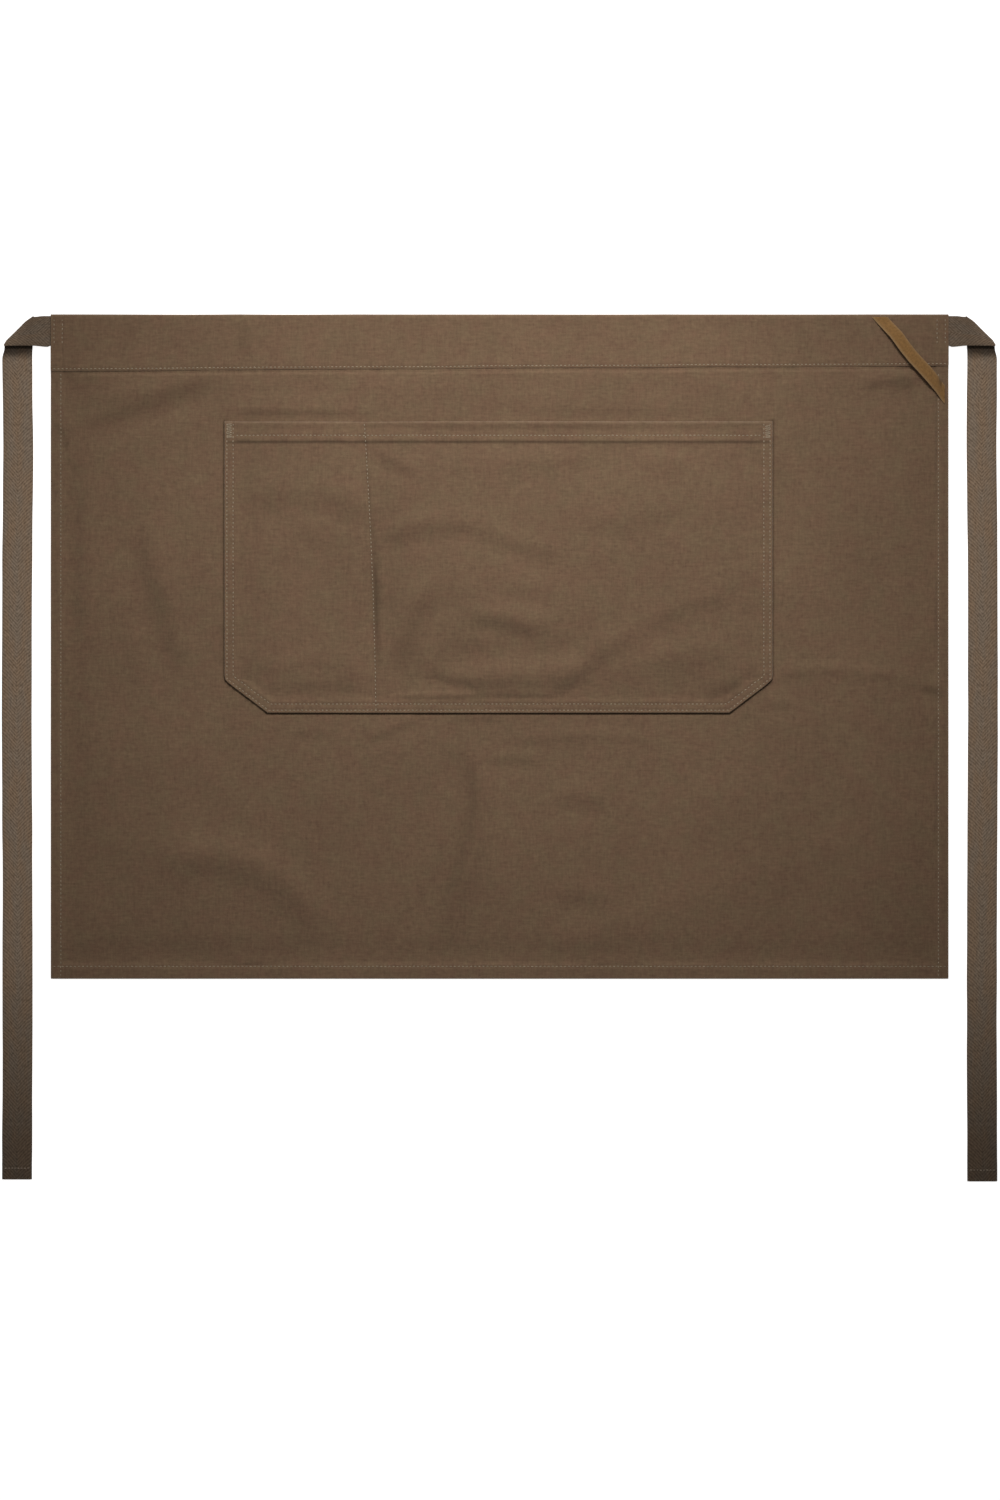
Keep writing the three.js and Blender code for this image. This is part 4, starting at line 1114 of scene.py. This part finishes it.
def tape_material(colours, sizes):
    """Grey-brown cotton tape woven in a herringbone whose two halves meet on its middle line."""
    material, n, shader = new_material("herringbone_tape", 0.85, 0.2)
    place = n.attribute("tape_place", "Vector")
    parts = n.add("ShaderNodeSeparateXYZ", Vector=place)
    across, along = parts.outputs["X"], parts.outputs["Y"]
    from_middle = n.math("ABSOLUTE", n.math("SUBTRACT", across, sizes.tape_width / 2))
    rib = n.ribs(n.math("ADD", along, n.math("MULTIPLY", from_middle, 1.1)), 3.1 * MM)
    yarn = n.ribs(across, 0.8 * MM)
    spot = n.noise(n.scaled(place, (620.0, 300.0, 1.0)), 1.0, 3.0, 0.65)
    broad = n.noise(n.scaled(place, (120.0, 26.0, 1.0)), 1.0, 3.0)
    tone = n.spread(n.total(rib, 0.36, spot, 1.3), 0.42, 1.24)
    colour = n.blend(tone, shade(colours.tape_dark), shade(colours.tape_light))
    warm = n.blend(1.0, colour, (1.08, 0.98, 0.88, 1.0), "MULTIPLY")
    colour = n.blend(n.spread(broad, 0.38, 0.62), colour, warm)
    # Painted shade: darker up to the fold and towards the turned end, by the metres along the tape, as the
    # light falls off along the tie.
    first = n.spread(along, 0.030, 0.062, 0.60, 1.0)
    last = n.spread(along, 0.58, 0.80, 1.0, 0.33)
    colour = n.darkened(colour, n.math("MULTIPLY", first, last))
    colour = n.marked(colour, "edge_wear_and_highlight", 0.2, shade(colours.tape_dark, 0.7))
    # Painted shadow just below the fold.
    colour = n.marked(colour, "painted_shade", 0.85, shade(colours.painted_shade_brown, 0.4))
    normal = n.bumped(n.math("ADD", rib, n.math("MULTIPLY", yarn, 0.35)), 0.5, 0.18 * MM)
    normal = n.bumped(spot, 0.3, 0.12 * MM, normal)
    n.link(shader, colour, n.spread(rib, 0.0, 1.0, 0.93, 0.78), normal)
    return material


def loop_material(colours):
    """Tan cotton tape, finely ribbed across, with a paler selvedge."""
    material, n, shader = new_material("ribbed_tan_tape", 0.8, 0.2)
    place = n.attribute("tape_place", "Vector")
    parts = n.add("ShaderNodeSeparateXYZ", Vector=place)
    rib = n.ribs(parts.outputs["Y"], 0.9 * MM)
    yarn = n.ribs(parts.outputs["X"], 0.7 * MM)
    spot = n.noise(n.scaled(place, (500.0, 500.0, 1.0)), 1.0, 3.0)
    tone = n.spread(n.total(rib, 0.35, spot, 0.9), 0.30, 0.90)
    colour = n.blend(tone, shade(colours.loop_tan, 0.68), shade(colours.loop_tan, 1.22))
    colour = n.marked(colour, "edge_wear_and_highlight", 0.45, shade(colours.loop_edge))
    # Painted shade: the dark spot near the loop's side end.
    colour = n.marked(colour, "painted_shade", 0.6, shade(colours.painted_shade_brown))
    normal = n.bumped(n.math("ADD", rib, n.math("MULTIPLY", yarn, 0.4)), 0.5, 0.2 * MM)
    n.link(shader, colour, n.spread(rib, 0.0, 1.0, 0.9, 0.72), normal)
    return material


def thread_material(name, colour):
    """Twisted cotton thread, each stitch a little paler or darker than the next."""
    material, n, shader = new_material(name, 0.7, 0.15)
    place = n.add("ShaderNodeTexCoord").outputs["Object"]
    fuzz = n.noise(place, 2600.0, 2.0)
    twist = n.stripes(n.scaled(place, (1.0, 1.0, 1.0), 0.7), 2600.0, "X", 0.6)
    tone = n.total(n.attribute("tint"), 0.6, fuzz, 0.4)
    made = n.blend(tone, shade(colour, 0.78), shade(colour, 1.2))
    n.link(shader, made, n.spread(fuzz, 0.3, 0.7, 0.62, 0.84), n.bumped(twist, 0.6, 0.1 * MM))
    return material


def table_material(stage):
    """A white table that stays white in the light, and darkens only where the apron shades it."""
    material, n, shader = new_material("white_table", 0.9, 0.0)
    grain = n.noise(n.add("ShaderNodeTexCoord").outputs["Object"], 300.0, 2.0)
    shader.inputs["Base Color"].default_value = (0.86, 0.86, 0.86, 1.0)
    shader.inputs["Emission Color"].default_value = (1.0, 1.0, 1.0, 1.0)
    shader.inputs["Emission Strength"].default_value = stage.floor_glow
    n.tree.links.new(n.spread(grain, 0.0, 1.0, 0.85, 0.95), shader.inputs["Roughness"])
    return material


def length(name, description, default):
    """A property that holds a length in metres."""
    return bpy.props.FloatProperty(
        name=name, description=description, default=default, unit="LENGTH", precision=5
    )


def amount(name, description, default, subtype="NONE"):
    """A property that holds a plain number or an angle."""
    return bpy.props.FloatProperty(name=name, description=description, default=default, subtype=subtype)


def place(name, description, default):
    """A property that holds a place, in metres."""
    return bpy.props.FloatVectorProperty(
        name=name, description=description, default=default, unit="LENGTH"
    )


def tint(name, description, default):
    """A property that holds a colour."""
    return bpy.props.FloatVectorProperty(
        name=name, description=description, default=default, subtype="COLOR", size=3, min=0.0, max=1.0
    )


class ApronSizes(bpy.types.PropertyGroup):
    """Sizes of the cloth, the tapes, the seams and the stitches."""

    cloth: length("Cloth", "Thickness of one layer of canvas", 0.8 * MM)
    fold_strength: amount("Folds", "How strongly the cloth is creased", 1.0)
    body_folds: amount("Body folds", "Strength of the body's own creases", 1.6)
    weave: length("Weave", "Distance from one twill line to the next", 0.8 * MM)
    side_hem: length("Side hem", "Width of the turned side hems", 10 * MM)
    bottom_hem: length("Bottom hem", "Width of the turned bottom hem", 12 * MM)
    hem_stack: length("Hem stack", "Height of the turned cloth in a hem", 2.0 * MM)
    hem_fall: length("Hem fall", "How far in from a hem the cloth comes down", 14 * MM)
    hem_row: length("Hem row", "From a hem's inner edge to its row of stitches", 1.3 * MM)
    groove: length("Groove", "How deep a row of stitches is pressed in", 0.28 * MM)
    pucker: length("Pucker", "Height of the ripples along a row of stitches", 0.22 * MM)
    band_depth_left: length("Band depth left", "Depth of the waistband at its left end", 49 * MM)
    band_depth_right: length("Band depth right", "Depth of the waistband at its right end", 44.5 * MM)
    band_fall: length("Band fall", "How far below the waistband the cloth comes down", 30 * MM)
    band_row: length("Band row", "From the waistband's lower edge to its row of stitches", 2.2 * MM)
    pocket_rim: length("Pocket rim", "Width of the pocket's turned-in edge", 10 * MM)
    rim_row_outer: length("Outer row", "From the pocket's edge to the outer row of stitches", 2.3 * MM)
    rim_row_inner: length("Inner row", "From the pocket's edge to the inner row of stitches", 7.6 * MM)
    pocket_hem: length("Pocket hem", "Depth of the hem along the pocket's mouth", 17 * MM)
    pocket_hem_row: length("Pocket hem row", "From the pocket's mouth to the hem's stitches", 12.2 * MM)
    corner_across: length("Corner across", "Length of a cut pocket corner along the bottom", 37 * MM)
    corner_up: length("Corner up", "Length of a cut pocket corner up the side", 28 * MM)
    pen_at_mouth: length("Pen pocket at mouth", "Width of the pen pocket at its mouth", 120 * MM)
    pen_at_foot: length("Pen pocket at foot", "Width of the pen pocket at its foot", 130 * MM)
    pocket_rise: length("Pocket rise", "How far the slack pocket cloth stands off", 4.6 * MM)
    pen_rise: length("Pen pocket rise", "How far the slack pen pocket stands off", 2.6 * MM)
    mouth_rise: length("Mouth rise", "How far the pocket's mouth stands off", 2.4 * MM)
    pocket_gap: length("Pocket gap", "Room between the pocket's edge and the body", 0.12 * MM)
    tape: length("Tape", "Thickness of the tie tape", 0.9 * MM)
    tape_width: length("Tape width", "Width of the tie tape", 25 * MM)
    tie_gap: length("Tie gap", "From the body's side to the hanging tie", 16.5 * MM)
    tie_inset: length("Tie inset", "From the waistband's top edge to the tie's", 1.8 * MM)
    tie_fold_rise: length("Tie fold rise", "How far the tie stands up where it is folded over", 2.4 * MM)
    tie_sewn_in: length("Tie sewn in", "Length of tie caught in the waistband", 12 * MM)
    tie_hem: length("Tie hem", "Length of the turned end of a tie", 12 * MM)
    loop_width: length("Loop width", "Width of the hanging loop's tape", 10 * MM)
    loop_rise: length("Loop rise", "How far the hanging loop stands up", 4.6 * MM)
    loop_top_across: length("Loop top across", "From the body's side to the loop's top end", 59 * MM)
    loop_top_down: length("Loop top down", "From the top edge to the loop's top end", 2.8 * MM)
    loop_side_across: length("Loop side across", "From the body's side to the loop's side end", 3.6 * MM)
    loop_side_down: length("Loop side down", "From the top edge to the loop's side end", 69 * MM)
    stitch_pitch: length("Stitch pitch", "From one stitch to the next", 3.5 * MM)
    stitch: length("Stitch", "Length of one stitch on the surface", 2.1 * MM)
    thread: length("Thread", "Thickness of the sewing thread", 0.78 * MM)


class ApronColours(bpy.types.PropertyGroup):
    """Colours of the cloth, the tapes and the threads."""

    canvas_red: tint("Canvas, reddish", "The warmer of the canvas's two browns", (0.187, 0.107, 0.064))
    canvas_olive: tint("Canvas, olive", "The greener of the canvas's two browns", (0.164, 0.108, 0.060))
    # Pale edges: partly wear, partly painted highlight on folded edges.
    canvas_worn_and_highlit: tint("Canvas, worn", "Where folded edges have rubbed pale", (0.300, 0.212, 0.140))
    # Painted shade: the dark brown laid into seams, creases, the pocket's outline and under the ties' folds.
    painted_shade_brown: tint("Canvas, deep", "Down in the seams, where the dye stays dark", (0.040, 0.024, 0.012))
    tape_light: tint("Tape, light", "The tie tape's raised ribs", (0.374, 0.278, 0.199))
    tape_dark: tint("Tape, dark", "The tie tape between its ribs", (0.139, 0.099, 0.067))
    loop_tan: tint("Loop", "The hanging loop's tan", (0.252, 0.131, 0.042))
    loop_edge: tint("Loop edge", "The hanging loop's paler selvedge", (0.400, 0.270, 0.145))
    thread: tint("Thread", "The canvas's sewing thread", (0.370, 0.290, 0.200))
    tape_thread: tint("Tape thread", "The thread at the tie ends", (0.400, 0.310, 0.230))


class ApronStage(bpy.types.PropertyGroup):
    """The camera, the light and the table."""

    camera_height: length("Camera height", "Camera above the table", 3.575)
    camera_lens: amount("Lens", "Focal length in millimetres", 100.0)
    lamp_place: place("Lamp", "Where the lamp stands", (0.12, 1.20, 1.25))
    lamp_aim: place("Lamp aim", "What the lamp points at", (0.0, 0.21, 0.0))
    lamp_power: amount("Lamp power", "Power of the lamp in watts", 95.0)
    lamp_radius: length("Lamp radius", "Size of the soft lamp", 0.22)
    lamp_cone: amount("Lamp cone", "Angle of its cone", 0.80, "ANGLE")
    sky: amount("Sky", "Strength of the even light from all round", 0.19)
    floor_glow: amount("Table glow", "How much the table shines by itself", 0.86)
    floor_side: length("Table side", "Side of the table", 8.0)


def dressed(made, material):
    """Gives a piece its material and the body that it moves with."""
    made.data.materials.append(material)
    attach(made, "root")
    return made


def material_once(name, make):
    """The material of that name, made when it is first asked for."""
    return bpy.data.materials.get(name) or make()


def canvas(context):
    """The material of the body, the waistband and the pocket."""
    scene = context.scene
    return material_once("brown_canvas", lambda: canvas_material(scene.apron_colours, scene.apron_sizes))


def canvas_thread(context):
    """The material of the stitches in the canvas."""
    colour = context.scene.apron_colours.thread
    return material_once("canvas_thread", lambda: thread_material("canvas_thread", colour))


def sew(context, name, runs, height, seed, under=False):
    """Sews rows of stitches into the canvas, with its own thread."""
    s = context.scene.apron_sizes
    made = make_stitches(name, runs, height, s.stitch, s.thread, seed, under)
    dressed(made, canvas_thread(context))


class APRON_OT_body(bpy.types.Operator):
    """Make the body of the apron, with its turned hems and its creases"""

    bl_idname = "apron.body"
    bl_label = "Body"

    def execute(self, context):
        made = dressed(make_panel(context.scene.apron_sizes), canvas(context))
        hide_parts("apron_panel")
        return {"FINISHED"}


class APRON_OT_waistband(bpy.types.Operator):
    """Make the waistband, a strip folded over the top of the body"""

    bl_idname = "apron.waistband"
    bl_label = "Waistband"

    def execute(self, context):
        made = dressed(make_waistband(context.scene.apron_sizes), canvas(context))
        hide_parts("waistband")
        return {"FINISHED"}


class APRON_OT_pocket(bpy.types.Operator):
    """Make the patch pocket with its pen pocket"""

    bl_idname = "apron.pocket"
    bl_label = "Pocket"

    def execute(self, context):
        made = dressed(make_pocket(context.scene.apron_sizes), canvas(context))
        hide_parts("pocket")
        return {"FINISHED"}


class APRON_OT_ties(bpy.types.Operator):
    """Make the two tape ties, folded over beside the waistband"""

    bl_idname = "apron.ties"
    bl_label = "Ties"

    def execute(self, context):
        sizes = context.scene.apron_sizes
        colours = context.scene.apron_colours
        material = material_once("herringbone_tape", lambda: tape_material(colours, sizes))
        for side, node, end_y in TIE_ENDS:
            made = dressed(make_tie(sizes, side, end_y, node + "_tape"), material)
            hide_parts(node)
        return {"FINISHED"}


class APRON_OT_loop(bpy.types.Operator):
    """Make the hanging loop across the top right corner"""

    bl_idname = "apron.loop"
    bl_label = "Hanging loop"

    def execute(self, context):
        colours = context.scene.apron_colours
        material = material_once("ribbed_tan_tape", lambda: loop_material(colours))
        made = dressed(make_loop(context.scene.apron_sizes), material)
        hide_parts("hanging_loop")
        return {"FINISHED"}


class APRON_OT_body_stitches(bpy.types.Operator):
    """Sew the hems of the body, seen on its front and on its back"""

    bl_idname = "apron.body_stitches"
    bl_label = "Hem stitches"

    def execute(self, context):
        s = context.scene.apron_sizes
        side_x = HALF_WIDTH - s.side_hem + s.hem_row
        foot_y = BOTTOM_Y + s.bottom_hem - s.hem_row
        top = float(band_edge(s, np.array([0.0]))[0]) - 4 * MM
        lines = [upright_line(x, top, BOTTOM_Y + ROW_END) for x in (-side_x, side_x)]
        lines.append(level_line(foot_y, -HALF_WIDTH + ROW_END, HALF_WIDTH - ROW_END))
        runs = [run_between(line, s.stitch_pitch) for line in lines]
        sew(context, "hem_stitches", runs, lambda x, y: panel_top(s, x, y), 71)
        sew(context, "hem_stitches_back", runs, lambda x, y: panel_faces(s, x, y)[1], 72, under=True)
        return {"FINISHED"}


class APRON_OT_band_stitches(bpy.types.Operator):
    """Sew the waistband to the body and close its ends"""

    bl_idname = "apron.band_stitches"
    bl_label = "Waistband stitches"

    def execute(self, context):
        s = context.scene.apron_sizes
        x = np.linspace(-HALF_WIDTH + ROW_END, HALF_WIDTH - ROW_END, 160)
        lines = [np.stack([x, band_edge(s, x) + s.band_row], axis=1)]
        for side in (-1, 1):
            for inset in BAND_END_ROWS:
                lines.append(upright_line(side * (HALF_WIDTH - inset), TOP_Y - 3.5 * MM, TOP_Y - 26 * MM))
        runs = [run_between(line, s.stitch_pitch) for line in lines]
        sew(context, "band_stitches", runs, lambda x, y: band_top(s, x, y), 73)
        sew(context, "band_stitches_back", runs, lambda x, y: BACK_SEAM_Z + 0 * x, 74, under=True)
        return {"FINISHED"}


class APRON_OT_pocket_stitches(bpy.types.Operator):
    """Sew the pocket: two rows along its edge, its hem, its dividing seam and its corner tacks"""

    bl_idname = "apron.pocket_stitches"
    bl_label = "Pocket stitches"

    def execute(self, context):
        s = context.scene.apron_sizes
        pitch = s.stitch_pitch

        def height(x, y):
            return pocket_top(s, x, y)

        rims = [run_between(rim_line(s, inset), pitch) for inset in (s.rim_row_outer, s.rim_row_inner)]
        sew(context, "pocket_edge_stitches", rims, height, 75)
        row_y = POCKET_HIGH.y - s.pocket_hem_row
        hem = level_line(row_y, POCKET_LOW.x + 9.5 * MM, POCKET_HIGH.x - 9.5 * MM)
        sew(context, "pocket_hem_stitches", [run_between(hem, pitch)], height, 76)
        y = np.linspace(POCKET_HIGH.y - ROW_END, POCKET_LOW.y + ROW_END, 120)
        seam = np.stack([divider_x(s, y), y], axis=1)
        sew(context, "divider_stitches", [run_between(seam, pitch)], height, 77)
        inset = (s.rim_row_outer + s.rim_row_inner) / 2 - 0.8 * MM
        foot = POCKET_HIGH.y - 14 * MM
        tacks = [
            zigzag(POCKET_LOW.x + inset, POCKET_HIGH.y - 2.5 * MM, foot, 13),
            zigzag(POCKET_HIGH.x - inset, POCKET_HIGH.y - 4 * MM, foot, 12),
        ]
        made = make_stitches("corner_tacks", tacks, height, 5.2 * MM, 0.7 * s.thread, 78)
        dressed(made, canvas_thread(context))
        return {"FINISHED"}


class APRON_OT_tape_stitches(bpy.types.Operator):
    """Sew the turned ends of the ties"""

    bl_idname = "apron.tape_stitches"
    bl_label = "Tape stitches"

    def execute(self, context):
        s = context.scene.apron_sizes
        colour = context.scene.apron_colours.tape_thread
        material = material_once("tape_thread", lambda: thread_material("tape_thread", colour))
        runs = []
        for side, _, end_y in TIE_ENDS:
            inner = side * (HALF_WIDTH + s.tie_gap + ROW_END)
            outer = side * (HALF_WIDTH + s.tie_gap + s.tape_width - ROW_END)
            row_y = end_y + s.tie_hem - TIE_ROW
            runs.append(run_between([(inner, row_y), (outer, row_y)], 2.6 * MM))
        made = make_stitches("tie_end_stitches", runs, lambda x, y: 2 * s.tape + 0 * x, 2 * MM, s.thread, 79)
        dressed(made, material)
        return {"FINISHED"}


class APRON_OT_stage(bpy.types.Operator):
    """Set up the white table, the soft lamp and the camera that looks straight down"""

    bl_idname = "apron.stage"
    bl_label = "Stage"

    def execute(self, context):
        scene = context.scene
        stage = scene.apron_stage
        half = stage.floor_side / 2
        corners = [(-half, -half, 0), (half, -half, 0), (half, half, 0), (-half, half, 0)]
        mesh = bpy.data.meshes.new("floor")
        mesh.from_pydata(corners, [], [(0, 1, 2, 3)])
        floor = bpy.data.objects.new("floor", mesh)
        floor.location.z = TABLE_Z
        scene.collection.objects.link(floor)
        mesh.materials.append(table_material(stage))

        lamp = bpy.data.lights.new("soft_lamp", "SPOT")
        lamp.energy = stage.lamp_power
        lamp.shadow_soft_size = stage.lamp_radius
        lamp.spot_size = stage.lamp_cone
        lamp.spot_blend = 1.0
        lit = bpy.data.objects.new("soft_lamp", lamp)
        lit.location = stage.lamp_place
        lit.rotation_mode = "QUATERNION"
        lit.rotation_quaternion = (lit.location - Vector(stage.lamp_aim)).to_track_quat("Z", "Y")
        scene.collection.objects.link(lit)

        world = bpy.data.worlds.new("even_light")
        world.use_nodes = True
        background = world.node_tree.nodes["Background"]
        background.inputs["Color"].default_value = (1.0, 1.0, 1.0, 1.0)
        background.inputs["Strength"].default_value = stage.sky
        scene.world = world

        camera = bpy.data.cameras.new("camera")
        camera.lens = stage.camera_lens
        camera.sensor_width = SENSOR_WIDTH
        camera.clip_end = FARTHEST
        eye = bpy.data.objects.new("camera", camera)
        eye.location = (*EYE_SHIFT, stage.camera_height)
        scene.collection.objects.link(eye)
        scene.camera = eye
        scene.view_settings.view_transform = "Standard"
        return {"FINISHED"}


PIECE_OPERATORS = (
    APRON_OT_body,
    APRON_OT_waistband,
    APRON_OT_pocket,
    APRON_OT_ties,
    APRON_OT_loop,
    APRON_OT_body_stitches,
    APRON_OT_band_stitches,
    APRON_OT_pocket_stitches,
    APRON_OT_tape_stitches,
    APRON_OT_stage,
)


class VIEW3D_PT_apron(bpy.types.Panel):
    """Lists the apron's pieces and their sizes"""

    bl_idname = "VIEW3D_PT_apron"
    bl_label = "Apron"
    bl_space_type = "VIEW_3D"
    bl_region_type = "UI"
    bl_category = "Apron"

    def draw(self, context):
        layout = self.layout
        for operator in PIECE_OPERATORS:
            layout.operator(operator.bl_idname)
        for group in (context.scene.apron_sizes, context.scene.apron_colours, context.scene.apron_stage):
            column = layout.column(align=True)
            for name in type(group).__annotations__:
                column.prop(group, name)


CLASSES = (ApronSizes, ApronColours, ApronStage, *PIECE_OPERATORS, VIEW3D_PT_apron)


def register():
    for each in CLASSES:
        bpy.utils.register_class(each)
    bpy.types.Scene.apron_sizes = bpy.props.PointerProperty(type=ApronSizes)
    bpy.types.Scene.apron_colours = bpy.props.PointerProperty(type=ApronColours)
    bpy.types.Scene.apron_stage = bpy.props.PointerProperty(type=ApronStage)


def unregister():
    del bpy.types.Scene.apron_stage
    del bpy.types.Scene.apron_colours
    del bpy.types.Scene.apron_sizes
    for each in reversed(CLASSES):
        bpy.utils.unregister_class(each)


def main():
    """Makes every piece in turn."""
    register()
    for operator in PIECE_OPERATORS:
        group, name = operator.bl_idname.split(".")
        getattr(getattr(bpy.ops, group), name)()


if __name__ == "__main__":
    main()
